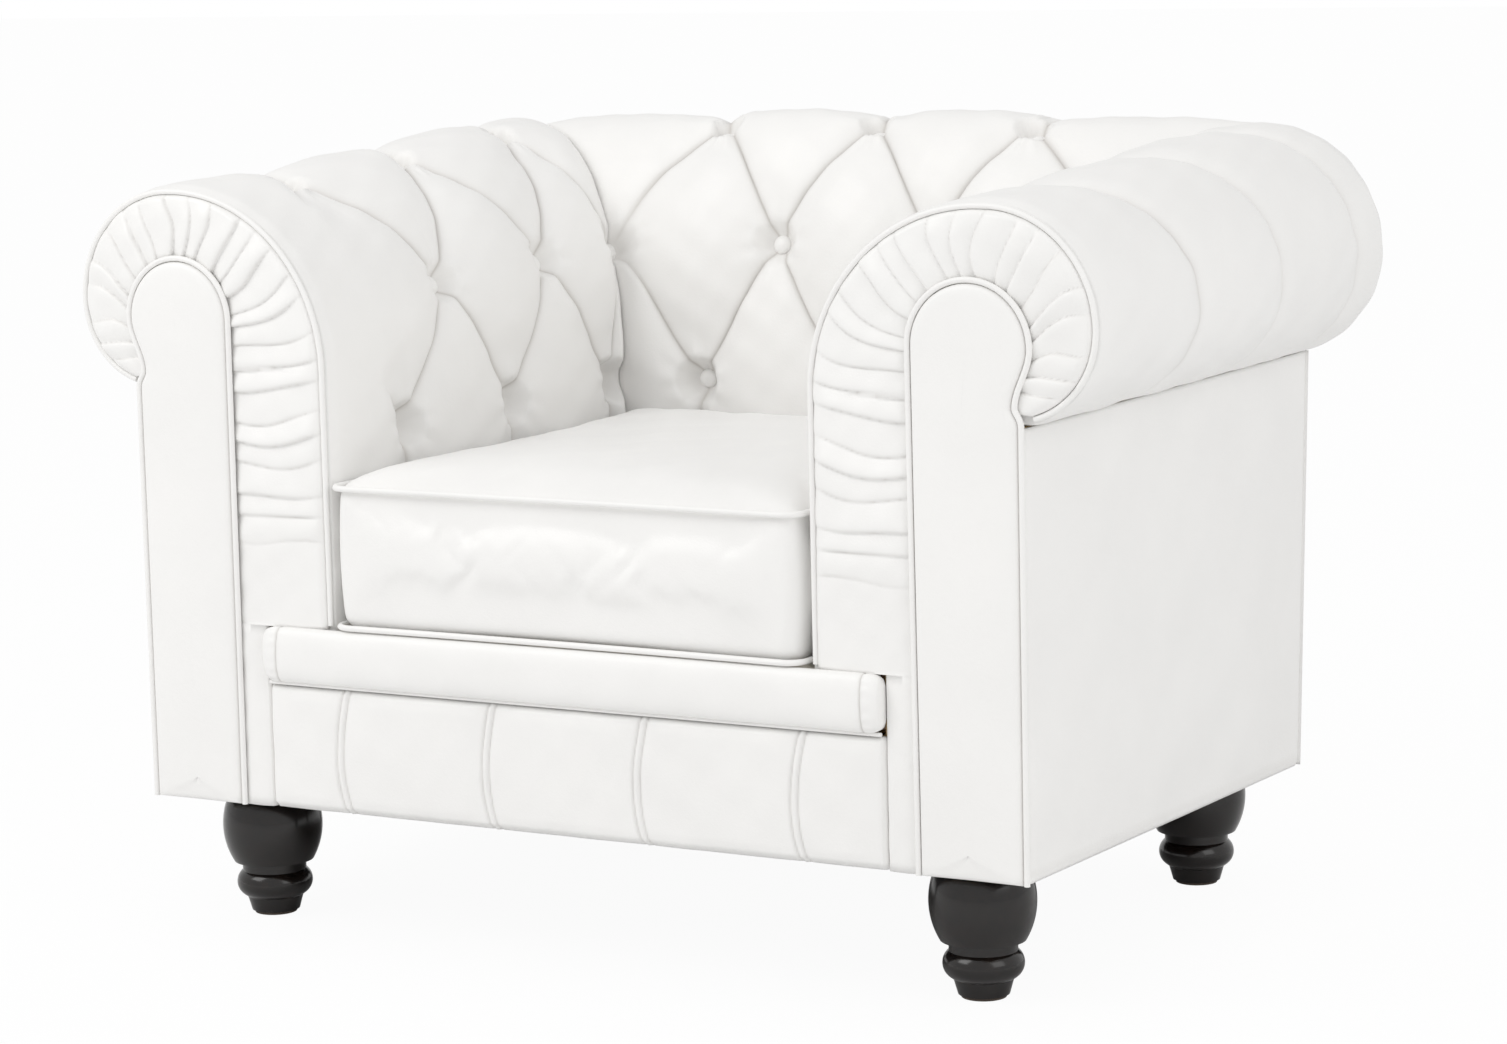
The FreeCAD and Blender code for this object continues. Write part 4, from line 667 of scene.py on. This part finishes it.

# The arm facings: arched boards padded with foam and covered in smooth leatherette, set on
# the ends of the arms. Painted shade darkens a thin line along the very edge, beside the welt.
arch_x, arch_z, arch_radius = 431.0, 608.0, 57.0
arch_angles = np.radians(np.linspace(180, 0, 60))
arch = np.stack([np.cos(arch_angles), np.sin(arch_angles)], 1) * arch_radius + (arch_x, arch_z)
inner_side = np.stack([374 + 3 * (1 - np.linspace(0, 1, 60)), np.linspace(frame_low, arch_z, 60)], 1)[:-1]
down = np.concatenate([np.linspace(608, 500, 50)[1:], np.linspace(500, frame_low, 50)[1:]])
outer_side = np.stack([488 - 15 * smooth((608 - down) / 52) + 6.3 * smooth((556 - down) / 16), down], 1)
face_outline = np.concatenate([inner_side, arch, outer_side])
bottom_side = np.stack([np.linspace(479, 377, 16)[1:-1], np.full(14, frame_low)], 1)
face_loop = np.concatenate([face_outline, bottom_side])
spine_z = np.clip(face_loop[:, 1], 152, arch_z)
spine_x = arch_x - 4 * smooth((arch_z - spine_z) / 60)
spine = np.stack([spine_x, spine_z], 1)
inward = np.array([0, 0.5, 1.5, 3.2, 5.5, 8.5, 12, 18, 26, 36, 60.0])
rise = np.array([7, 4.4, 2.6, 1.5, 0.8, 0.3, 0, -0.5, -1.0, -1.4, -1.6])
gap_in = np.linalg.norm(spine - face_loop, axis=1)
face_rings, facing_edge_shade = [], []
for distance in inward:
    part = np.minimum(distance / gap_in, 1.0) if distance < inward[-1] else np.ones(len(gap_in))
    ring = face_loop + (spine - face_loop) * part[:, None]
    level = np.interp(part * gap_in, inward, rise)
    face_rings.append(np.stack([ring[:, 0], level, ring[:, 1]], 1))
    # Painted shade along the very edge of the facing, beside the welt.
    facing_edge_shade.append(0.5 * math.exp(-distance / 0.8) + 0 * part)
back_ring = np.stack([face_loop[:, 0], np.full(len(face_loop), 16.0), face_loop[:, 1]], 1)
face_points = np.array([back_ring] + face_rings)
columns = len(face_loop)
face_net = shell(len(face_points), columns)[:-1]
facing_edge_shade = np.concatenate([np.zeros((1, columns)), np.array(facing_edge_shade)])
for side, mirror in sides:
    facing = made("arm_facing_" + side, face_points, face_net, facing_edge_shade, mirror)
    stuffed(facing, 0.9, "facing_" + side)

# The welts: piping cord rolled in a strip of the same leatherette, sewn round the facings,
# round the ends of the arm pads and under the front roll.
welt_tree, start = node_tree("leatherette_welt", [
    ("Radius", "NodeSocketFloat", 0.0028), ("Finish", "NodeSocketMaterial", None)])
around = add(welt_tree, "GeometryNodeCurvePrimitiveCircle", None,
             {"Resolution": 12, "Radius": start.outputs["Radius"]})
cord = add(welt_tree, "GeometryNodeCurveToMesh", None,
           {"Curve": start.outputs["Geometry"], "Profile Curve": around.outputs[0], "Fill Caps": True})
finish_tree(welt_tree, start, cord.outputs[0])


def line_of(name, points, closed=False):
    """A curve object through points, for a tree to run along."""
    data = bpy.data.curves.new(name, "CURVE")
    data.dimensions = "3D"
    spline = data.splines.new("POLY")
    points = metres(points)
    spline.points.add(len(points) - 1)
    spline.points.foreach_set("co", np.concatenate([points, np.ones((len(points), 1))], 1).ravel())
    spline.use_cyclic_u = closed
    item = bpy.data.objects.new(name, data)
    bpy.context.collection.objects.link(item)
    return item


def welt(name, points, radius, body, closed=False):
    return grown(line_of(name + "_line", points, closed), welt_tree,
                 {"Radius": radius / 1000, "Finish": leatherette}, name, body)


def offset(points, distance):
    """A plane line moved sideways, to its left."""
    along_line = np.gradient(points, axis=0)
    along_line /= np.linalg.norm(along_line, axis=1)[:, None]
    return points + np.stack([-along_line[:, 1], along_line[:, 0]], 1) * distance


welt_side = offset(face_outline, 2.9)
scroll_stop = math.radians(74)


def scroll(inset, low):
    """The outline of an arm's end, from its foot up and over the roll, drawn in by an inset."""
    edge, drop = seat_half + 3 + inset, 3 + inset
    rise_by = sweep_rise - drop
    top = crest_z - drop
    out = seat_half + arm_reach - 3 - inset
    roll_by, tuck_by = roll_radius - drop, tuck_radius - drop
    straight = np.stack([np.full(60, edge), np.linspace(low, sweep_z, 60)], 1)
    angle = np.linspace(math.pi, math.pi / 2, 60)[1:]
    sweep = np.stack([edge + rise_by + rise_by * np.cos(angle), sweep_z + rise_by * np.sin(angle)], 1)
    flat = np.stack([np.linspace(edge + rise_by, out - roll_by, 4)[1:], np.full(3, top)], 1)
    angle = np.linspace(math.pi / 2, 0, 50)[1:]
    over = np.stack([out - roll_by + roll_by * np.cos(angle), roll_z + roll_by * np.sin(angle)], 1)
    angle = np.linspace(0, -scroll_stop, 36)[1:]
    under = np.stack([out - tuck_by + tuck_by * np.cos(angle), roll_z + tuck_by * np.sin(angle)], 1)
    return np.concatenate([straight, sweep, flat, over, under])


scroll_line = scroll(welt_radius, 312.8)
for side, sign in (("left", 1), ("right", -1)):
    for where_to, line, depth in (("facing", welt_side, 4.6), ("scroll", scroll_line, 13.2)):
        route = np.stack([sign * line[:, 0], np.full(len(line), depth), line[:, 1]], 1)
        piece = welt(f"{where_to}_welt_cord_{side}", route, welt_radius, "frame")
        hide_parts(f"{where_to}_welt_{side}")
under_roll = np.stack([np.linspace(-338, 338, 60), np.full(60, 5.6), np.full(60, 253.9)], 1)
roll_cord = welt("front_roll_cord", under_roll, cord_radius, "frame")
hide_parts("roll_welt")

# The pleated bands: leatherette gathered in lapped pleats between the facing and the welt of
# the arm pad, plain at the foot. Each pleat is pressed one way and curves up to its outer end.
band_outer = scroll(5.9, 309)
band_edge = offset(face_outline, 0.4)


def lengths_of(line):
    """How far along a line each of its points lies."""
    return np.concatenate([[0], np.cumsum(np.linalg.norm(np.diff(line, axis=0), axis=1))])


def spaced(line, shares):
    """Points at given shares of the length of a line."""
    lengths = lengths_of(line)
    return np.stack([np.interp(shares * lengths[-1], lengths, line[:, i]) for i in range(2)], 1)


def reach_share(line, test):
    """The share of a line's length at its first point that passes a test."""
    lengths = lengths_of(line)
    return lengths[int(np.argmax(test(line)))] / lengths[-1]


pleat_pitch, pleat_start = 24.0, 393.0
straight_pleats = (sweep_z - pleat_start) / pleat_pitch
foot_rows, straight_rows, arch_rows = 40, 110, 330
foot_level = np.concatenate([np.linspace(frame_low, 309, 20),
                             np.linspace(309.4, pleat_start - pleat_pitch, 21)[:-1]])
foot_near = np.stack([np.linspace(377, 374.3, foot_rows), foot_level], 1)
foot_far = np.stack([np.where(foot_level <= 309, 340.9, 271.4), foot_level], 1)
straight_level = np.linspace(pleat_start - pleat_pitch, sweep_z, straight_rows + 1)[:-1]
straight_near = np.stack([np.full(straight_rows, 374.3), straight_level], 1)
straight_far = np.stack([np.full(straight_rows, 271.4), straight_level], 1)
near_from = reach_share(band_edge, lambda line: line[:, 1] >= sweep_z)
near_to = reach_share(band_edge, lambda line: (line[:, 0] > 440) & (line[:, 1] < 552))
far_from = reach_share(band_outer, lambda line: line[:, 1] >= sweep_z)
arch_near = spaced(band_edge, np.linspace(near_from, near_to, arch_rows))
arch_far = spaced(band_outer, np.linspace(far_from, 1.0, arch_rows))
band_near = np.concatenate([foot_near, straight_near, arch_near])
band_far = np.concatenate([foot_far, straight_far, arch_far])
arch_pleats = round(lengths_of(arch_near)[-1] / 15.5)
phase = np.concatenate([np.linspace(-2, 0, foot_rows + 1)[:-1],
                        np.linspace(0, straight_pleats + 1, straight_rows + 1)[:-1],
                        straight_pleats + 1 + np.linspace(0, arch_pleats, arch_rows)])
strength = smooth((phase - 0.2) / 1.8)
across = np.linspace(0, 1, 44)
bow = np.concatenate([np.zeros(foot_rows), smooth(np.linspace(0, 1, straight_rows)) * 13,
                      13 - 9 * smooth(np.linspace(0, 2.2, arch_rows))])
grid = band_near[:, None] + (band_far - band_near)[:, None] * across[None, :, None]
curved = across[None] ** 2 * bow[:, None] - 3.0 * np.sin(math.pi * across)[None]
curved = phase[:, None] - curved / pleat_pitch
wobble = 0.14 * np.sin(curved * 2.3 + 1.0) + 0.1 * np.sin(curved * 1.1 + across[None] * 5)
beat = np.mod(curved + wobble, 1.0)
lap = np.sin(math.pi * beat ** 0.5) ** 0.8
which = np.floor(curved + wobble)
uneven = 0.76 + 0.24 * np.sin(which * 2.7 + 0.5)
inner_end = 0.05 + 0.05 * np.sin(which * 3.1)
outer_end = 0.22 + 0.16 * np.sin(which * 4.3 + 1.2)
hold = smooth(across[None] / (inner_end + 0.06)) * 0.6 + 0.4
hold = hold * (smooth((1 - across)[None] / outer_end) * 0.72 + 0.28)
height = 6.0 * lap * uneven * strength[:, None] * hold
belly = 3.0 * np.sin(math.pi * across)[None] ** 0.7 + 0 * beat
seam_dip = 0.6 * (1 - smooth(across / 0.05))[None] + 2.0 * (1 - smooth((1 - across) / 0.05))[None]
depth = 9.5 - belly - height * 0.8 + 1.6 * strength[:, None] + seam_dip
front_layer = np.stack([grid[..., 0], depth, grid[..., 1]], -1)
front_layer[..., 1] += 0.5 * ripple(front_layer, 70)
rear_layer = np.stack([grid[..., 0], np.full(grid.shape[:2], 16.0), grid[..., 1]], -1)
# Painted shade along the fold of every pleat.
pleat_crease_shade = np.exp(-np.minimum(beat, (1 - beat) * 3) / 0.04) * strength[:, None] * hold * 0.5
for side, mirror in sides:
    band = two_sided("pleated_arm_band_" + side, front_layer, rear_layer, pleat_crease_shade, mirror)
    stuffed(band, 0.7, "pleated_band_" + side)

# The front roll: a foam roll under the cushion, covered in one strip, with a round cap
# gathered into a seam at each end.
lengthwise = np.concatenate([np.linspace(0, 14, 12), [16, 17.5, 18.4, 19.4, 21],
                             np.linspace(24, 654, 120), [657, 658.6, 659.6, 660.5, 662],
                             np.linspace(664, 678, 12)])
from_end = np.minimum(lengthwise, 678 - lengthwise)
shrink = np.sqrt(np.clip(1 - (1 - np.clip(from_end / 14, 0, 1)) ** 2, 0, 1)) * 0.3 + 0.7
shrink[0] = shrink[-1] = 0.62
seam = np.exp(-np.abs(from_end - 18.4) / 0.8)
turns = np.linspace(0, 2 * math.pi, 64, endpoint=False)
outline_y = np.sign(np.cos(turns)) * np.abs(np.cos(turns)) ** 0.72
outline_z = np.sign(np.sin(turns)) * np.abs(np.sin(turns)) ** 0.86
roll_rings = []
for distance, small, dent in zip(lengthwise, shrink, seam):
    inset = 1.3 * dent
    gather = 0.5 * np.cos(turns * 14) * math.exp(-abs(min(distance, 678 - distance) - 13) / 5)
    half_y, half_z = 11.2 * small - inset, 27.2 * small - inset
    y = 4.6 + (11.2 - 11.2 * small) * 0.5 + outline_y * (half_y + gather)
    z = 282.6 + outline_z * (half_z + gather)
    roll_rings.append(np.stack([np.full(64, (distance - 339) * 1.005), y, z], 1))
roll_points = np.array(roll_rings)
front_side = roll_points[..., 1] < 5
roll_points[..., 1] += 0.6 * ripple(roll_points, 130) * front_side
roll_points[..., 1] = np.minimum(roll_points[..., 1], 15.7)
roll_net = shell(len(roll_points), 64)
# Painted shade along the gathered seam at each end.
roll_seam_shade = np.repeat(seam[:, None], 64, 1) * 0.7
front_roll = made("front_seat_roll", roll_points, roll_net, roll_seam_shade)
stuffed(front_roll, 0.9, "front_roll")

# The front border: a padded panel under the roll with four narrow upright tucks, each sewn
# down as a thin ridge that bows to one side.
border_half = 340.6
border_x = np.linspace(-border_half, border_half, 420)
border_top = 251
border_z = np.linspace(frame_low, border_top, 60)
grid_x, grid_z = np.meshgrid(border_x, border_z)
share_up = (grid_z - frame_low) / (border_top - frame_low)
bowed = 10 * np.sin(math.pi * share_up ** 0.85)
nearest = np.full(grid_x.shape, 1e3)
for stop in (-252, -84, 84, 252):
    offset_x = grid_x - (stop - bowed + 4)
    nearest = np.where(np.abs(offset_x) < np.abs(nearest), offset_x, nearest)
ends = np.minimum(border_half - np.abs(grid_x), 60)
puffed = 4.0 * (1 - np.exp(-np.minimum(np.abs(nearest), ends) / 16))
puffed *= smooth(np.minimum(share_up, 1 - share_up) / 0.2 + 0.35)
ridge = 2.0 * np.exp(-(nearest / 2.2) ** 2)
groove = 1.8 * (np.exp(-((nearest - 4) / 1.3) ** 2) + np.exp(-((nearest + 4) / 1.3) ** 2))
depth = 6.5 - puffed - ridge + groove
depth += 5 * (1 - smooth(share_up / 0.05)) + 3 * (1 - smooth((1 - share_up) / 0.04))
depth += 5 * (1 - smooth(ends / 4))
border_front = np.stack([grid_x, depth, grid_z], -1)
border_front[..., 1] += 0.5 * ripple(border_front, 110)
border_rear = np.stack([grid_x, np.full(grid_x.shape, 15.6), grid_z], -1)
# The last argument is painted shade in the grooves beside each tuck.
border = two_sided("front_border_panel", border_front, border_rear, groove / 1.8 * 0.35)
stuffed(border, 0.8, "front_border")


# The outside panels: leatherette over thin wadding on board, with a turned hem at the foot
# and soft rounded edges at the rear corners.
def outside_panel(corners, thick, name, node, mirror=False):
    """A covered board from its four outer corners, foot first, then the head; thick is a vector."""
    u, v = np.meshgrid(np.linspace(0, 1, 150), np.linspace(0, 1, 110))
    foot_a, foot_b, head_b, head_a = (np.array(corner, float) for corner in corners)
    base = ((foot_a * (1 - u[..., None]) + foot_b * u[..., None]) * (1 - v[..., None])
            + (head_a * (1 - u[..., None]) + head_b * u[..., None]) * v[..., None])
    long = np.linalg.norm(foot_b - foot_a)
    tall = np.linalg.norm(head_a - foot_a)
    side_in = np.minimum(u, 1 - u) * long
    foot_in = v * tall
    thick = np.array(thick, float)
    whole = np.linalg.norm(thick)
    fall = 5.0 * (1 - smooth(side_in / 9)) ** 2 + 2.5 * (1 - smooth(foot_in / 5))
    hem_line = 0.9 * np.exp(-np.abs(foot_in - 9) / 1.2)
    soft = 1.1 * ripple(base, 240) + 0.6 * ripple(base[..., ::-1], 120)
    settle = smooth(side_in / 30) * smooth(foot_in / 30) * smooth((tall - foot_in) / 30)
    lift = np.clip(-(fall + hem_line) + soft * settle - 0.3, -whole + 0.6, 2.5)
    outer_layer, inner_layer = base + thick / whole * lift[..., None], base - thick
    # The last value given is painted shade along the line of the hem.
    panel = two_sided(name, outer_layer, inner_layer, np.exp(-np.abs(foot_in - 9) / 1.2) * 0.5, mirror)
    stuffed(panel, 0.9, node)


for side, mirror in sides:
    outside_panel([(480, 16.6, 126), (480, 656.5, 112), (480, 682.5, 536), (480, 16.6, 536)], (6, 0, 0),
                  "outside_arm_panel_" + side, "outside_arm_" + side, mirror)
outside_panel([(-479.5, 663, 112), (479.5, 663, 112), (479.5, 689, 536), (-479.5, 689, 536)], (0, 6, 0),
              "outside_back_panel", "outside_back")

# The seat deck: a thin wadding pad over the springs, under plain decking cloth.
decking = woven("decking_cloth", "#E9E4DA", "#CFC8BB", 1.8, 0.9)
deck_low, deck_high = (np.array(corner) * 1000 + (0, front_plane, 0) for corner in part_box("deck_pad"))
u, v = np.meshgrid(np.linspace(0, 1, 60), np.linspace(0, 1, 60))
deck_x = deck_low[0] + 0.3 + (deck_high[0] - deck_low[0] - 0.6) * u
deck_y = deck_low[1] + 0.3 + (deck_high[1] - deck_low[1] - 0.6) * v
edge_in = np.minimum.reduce([u, 1 - u, v, 1 - v]) * 520
deck_top = np.stack([deck_x, deck_y, deck_high[2] - 0.6 - 6 * (1 - smooth(edge_in / 14)) ** 2], -1)
deck_top[..., 2] += 0.5 * (ripple(deck_top, 90) - 1)
deck_bottom = np.stack([deck_x, deck_y, 0 * u + deck_low[2] + 0.3], -1)
deck = two_sided("seat_deck", deck_top, deck_bottom, finish=decking, slot="foam")
stuffed(deck, 0.7, "deck_pad")

# The seat cushion: foam in a wadding wrap and a boxed leatherette cover, crowned on top,
# with piping round both edges and a zip in the rear of the boxing.
cushion_half, cushion_front, cushion_rear = 259.5, -2.0, 573.5
cushion_low, cushion_high, cushion_crown = 311.0, 450.0, 24.0
corner_radius, side_pull = 18.0, 4.0


def cushion_outline(inset, count=320):
    """The cushion in plan: round corners, and sides that pull in at their middle."""
    half_x = cushion_half - inset
    half_y = (cushion_rear - cushion_front) / 2 - inset
    corner = corner_radius + inset * 0.5
    quarter = []
    for turn_x, turn_y, begin in ((1, 1, 0), (-1, 1, 90), (-1, -1, 180), (1, -1, 270)):
        swing = np.radians(np.linspace(begin, begin + 90, 40))
        quarter.append(np.stack([turn_x * (half_x - corner) + corner * np.cos(swing),
                                 turn_y * (half_y - corner) + corner * np.sin(swing)], 1))
    loop = np.concatenate(quarter + [quarter[0][:1]])
    x, y = spaced(loop, np.linspace(0, 1, count, endpoint=False)).T
    pull_x = side_pull * (1 - (y / half_y) ** 2)
    pull_y = side_pull * (1 - (x / half_x) ** 2)
    flat_x = smooth((np.abs(x) - half_x + corner) / corner)
    flat_y = smooth((np.abs(y) - half_y + corner) / corner)
    x = x - np.sign(x) * pull_x * flat_x
    y = y - np.sign(y) * pull_y * flat_y
    return np.stack([x, y + (cushion_front + cushion_rear) / 2], 1)


def cushion_ring(inset, level):
    outline = cushion_outline(inset)
    return np.stack([outline[:, 0], outline[:, 1], np.full(len(outline), level)], 1)


middle_y = (cushion_front + cushion_rear) / 2


def cushion_shape(drawn_in):
    """Rings from the middle of the underside, up the boxing and over the crown."""

    def shrunk(inset, level, share):
        """A level ring drawn towards the cushion's middle."""
        ring = cushion_ring(inset + drawn_in, level)
        return (ring - (0, middle_y, 0)) * (share, share, 1) + (0, middle_y, 0)

    rings = [shrunk(4.5, cushion_low + 0.3, share) for share in np.linspace(0.004, 1, 30)]
    near_seams = [0.0, 0.01, 0.03, 0.05], [0.95, 0.97, 0.99, 1.0]
    for share_up in np.concatenate([near_seams[0], np.linspace(0.08, 0.92, 30), near_seams[1]]):
        bulge = 2.6 * math.sin(math.pi * share_up) ** 0.7
        dent = 1.6 * (math.exp(-share_up / 0.02) + math.exp(-(1 - share_up) / 0.02))
        rings.append(cushion_ring(1.0 + drawn_in + dent - bulge, 313.5 + (449.5 - 313.5) * share_up))
    for share in np.concatenate([[0.999, 0.995, 0.988, 0.978], np.linspace(0.965, 0.004, 60)]):
        crown = (cushion_crown - drawn_in) * (1 - share ** 4.5) ** 0.62
        rings.append(shrunk(3.6, cushion_high + crown - 0.5, share))
    points = np.array(rings)
    above_seat = smooth((points[..., 2] - 440) / 20)
    points[..., 2] += above_seat * (1.4 * ripple(points, 170) + 0.5 * ripple(points, 60))
    return points


def baked(item):
    item.data = plain(item)
    return item.data


def places(mesh):
    values = np.empty(len(mesh.vertices) * 3)
    mesh.vertices.foreach_get("co", values)
    return values.reshape(-1, 3)


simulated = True
cushion_points = cushion_shape(2.0 if simulated else 0.0)
cushion = made("seat_cushion", cushion_points, shell(*cushion_points.shape[:2]), body="cushion")
if simulated:
    # The cover is filled: cloth over the wadding swells a few millimetres between its seams.
    even = cushion.modifiers.new("even", "REMESH")
    even.mode = "VOXEL"
    even.voxel_size = 0.006
    before = places(baked(cushion))
    fill = cushion.modifiers.new("fill", "CLOTH")
    fill.settings.use_pressure = True
    fill.settings.uniform_pressure_force = 4.0
    fill.settings.effector_weights.gravity = 0.0
    fill.settings.quality = 5
    for step in range(1, 21):
        bpy.context.scene.frame_set(step)
    mesh = baked(cushion)
    bpy.context.scene.frame_set(1)
    moved = places(mesh) - before
    far = np.linalg.norm(moved, axis=1)[:, None]
    after = before + moved * np.minimum(1.0, 0.005 / np.maximum(far, 1e-9))
    after[:, 2] = np.clip(after[:, 2], (cushion_low + 0.3) / 1000, None)
    mesh.vertices.foreach_set("co", after.ravel())
    finer = cushion.modifiers.new("finer", "SUBSURF")
    finer.levels = finer.render_levels = 1
    mesh = baked(cushion)
    mesh.polygons.foreach_set("use_smooth", [True] * len(mesh.polygons))
    if not mesh.materials:
        mesh.materials.append(leatherette)
stuffed(cushion, 0.9, "cushion_core", "cushion_top_panel", "cushion_bottom_panel", "cushion_boxing")
for edge_name, level in (("low", 314.0), ("high", 450.0)):
    piping = welt("cushion_piping_" + edge_name, cushion_ring(2.1, level), piping_radius, "cushion",
                  closed=True)
    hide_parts("cushion_piping")

# The zip: a coil zip on woven tape, let into the rear of the boxing, with its teeth closed.
zip_tape = woven("zip_tape_cloth", "#ECE8E2", "#CFCAC2", 1.2, 0.85)
zip_low, zip_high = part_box("cushion_zip")
zip_y = zip_high[1] * 1000 + front_plane
tooth_tree, start = node_tree("zip_teeth", [
    ("Pitch", "NodeSocketFloat", 0.0025), ("Tooth", "NodeSocketVector", (0.0012, 0.0016, 0.0045)),
    ("Finish", "NodeSocketMaterial", None)])
steps = add(tooth_tree, "GeometryNodeCurveToPoints", {"mode": "LENGTH"},
            {"Curve": start.outputs["Geometry"], "Length": start.outputs["Pitch"]})
tooth = add(tooth_tree, "GeometryNodeMeshCube", None, {"Size": start.outputs["Tooth"]})
row_of = add(tooth_tree, "GeometryNodeInstanceOnPoints", None,
             {"Points": steps.outputs[0], "Instance": tooth.outputs[0]})
finish_tree(tooth_tree, start, row_of.outputs[0])
zip_z = (zip_low[2] + zip_high[2]) * 500
grown(line_of("zip_line", [(-198, zip_y - 0.2, zip_z), (198, zip_y - 0.2, zip_z)]), tooth_tree,
      {"Pitch": 0.0025, "Finish": zip_tape}, "zip_teeth", "cushion")
u, v = np.meshgrid(np.linspace(-199.6, 199.6, 90),
                   np.linspace(zip_low[2] * 1000 + 0.2, zip_high[2] * 1000 - 0.2, 8))
pulled_in = side_pull * (1 - (u / 257.5) ** 2)
tape_out = np.stack([u, 574.4 - pulled_in + 4.0, v], -1)
tape_in = np.stack([u, 571.6 - pulled_in + 4.0, v], -1)
tape = two_sided("zip_tape", tape_out, tape_in, finish=zip_tape, body="cushion", slot="zip_tape")
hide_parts("cushion_zip")

# The dust cover: black spunbond cloth, cut round the feet, stretched under the rails and
# stapled to them every 40 mm. It sags a little in the middle.
dust_cloth = woven("spunbond_dust_cloth", "#26262A", "#131316", 1.5, 0.9, 0.5)
cover_low, cover_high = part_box("dust_cover")
cover_half = cover_high[0] * 1000
cover_front, cover_rear = (corner[1] * 1000 + front_plane for corner in (cover_low, cover_high))
u, v = np.meshgrid(np.linspace(-cover_half, cover_half, 161), np.linspace(cover_front, cover_rear, 109))
cut_radius, cut_area = 44.0, 0.0
kept = np.ones((108, 160), bool)
for foot_x, foot_y in [(x, y) for y in (83, 575) for x in (399, -399)]:
    away = np.hypot(u - foot_x, v - foot_y)
    middle_away = (away[:-1, :-1] + away[1:, 1:]) / 2
    kept &= middle_away > cut_radius
    out_by = np.where(away < cut_radius, cut_radius / np.maximum(away, 1), 1.0)
    u, v = foot_x + (u - foot_x) * out_by, foot_y + (v - foot_y) * out_by
    cut_area += math.pi * (cut_radius / 1000) ** 2
edge_in = np.minimum.reduce([cover_half - np.abs(u), v - cover_front, cover_rear - v])
uneven = 0.4 * ripple(np.stack([u, v, 0 * u], -1), 150) * smooth(edge_in / 60)
sag = 3.0 * smooth((edge_in - 30) / 260) + uneven
number = -np.ones(u.shape, int)
used = np.zeros(u.shape, bool)
for step_v in (0, 1):
    for step_u in (0, 1):
        used[step_v:108 + step_v, step_u:160 + step_u] |= kept
number[used] = np.arange(used.sum())
under = np.stack([u[used], v[used], cover_low[2] * 1000 + 0.5 - sag[used]], 1)
rows_kept, columns_kept = np.nonzero(kept)
cloth_faces = [tuple(int(number[i + di, j + dj]) for di, dj in ((0, 0), (0, 1), (1, 1), (1, 0)))
               for i, j in zip(rows_kept, columns_kept)]
dust_cover = made("dust_cover_cloth", under, cloth_faces, finish=dust_cloth, slot="dust_cloth")
thicker = dust_cover.modifiers.new("thicker", "SOLIDIFY")
thicker.thickness, thicker.offset = 0.0006, 0.0
baked(dust_cover)
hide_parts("dust_cover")
staple_z, edge = cover_low[2] * 1000 - 0.3, 12
lengthways, crossways = (0.01, 0.0007, 0.0007), (0.0007, 0.01, 0.0007)
for label, first, last, bar in (
        ("front", (-430, cover_front + edge), (430, cover_front + edge), lengthways),
        ("rear", (-430, cover_rear - edge), (430, cover_rear - edge), lengthways),
        ("left", (cover_half - edge, 150), (cover_half - edge, 510), crossways),
        ("right", (edge - cover_half, 150), (edge - cover_half, 510), crossways)):
    line = line_of("staple_line_" + label, [(*first, staple_z), (*last, staple_z)])
    grown(line, tooth_tree, {"Pitch": 0.04, "Tooth": bar, "Finish": finishes["zinc_steel"]},
          "cover_staples_" + label, "frame")
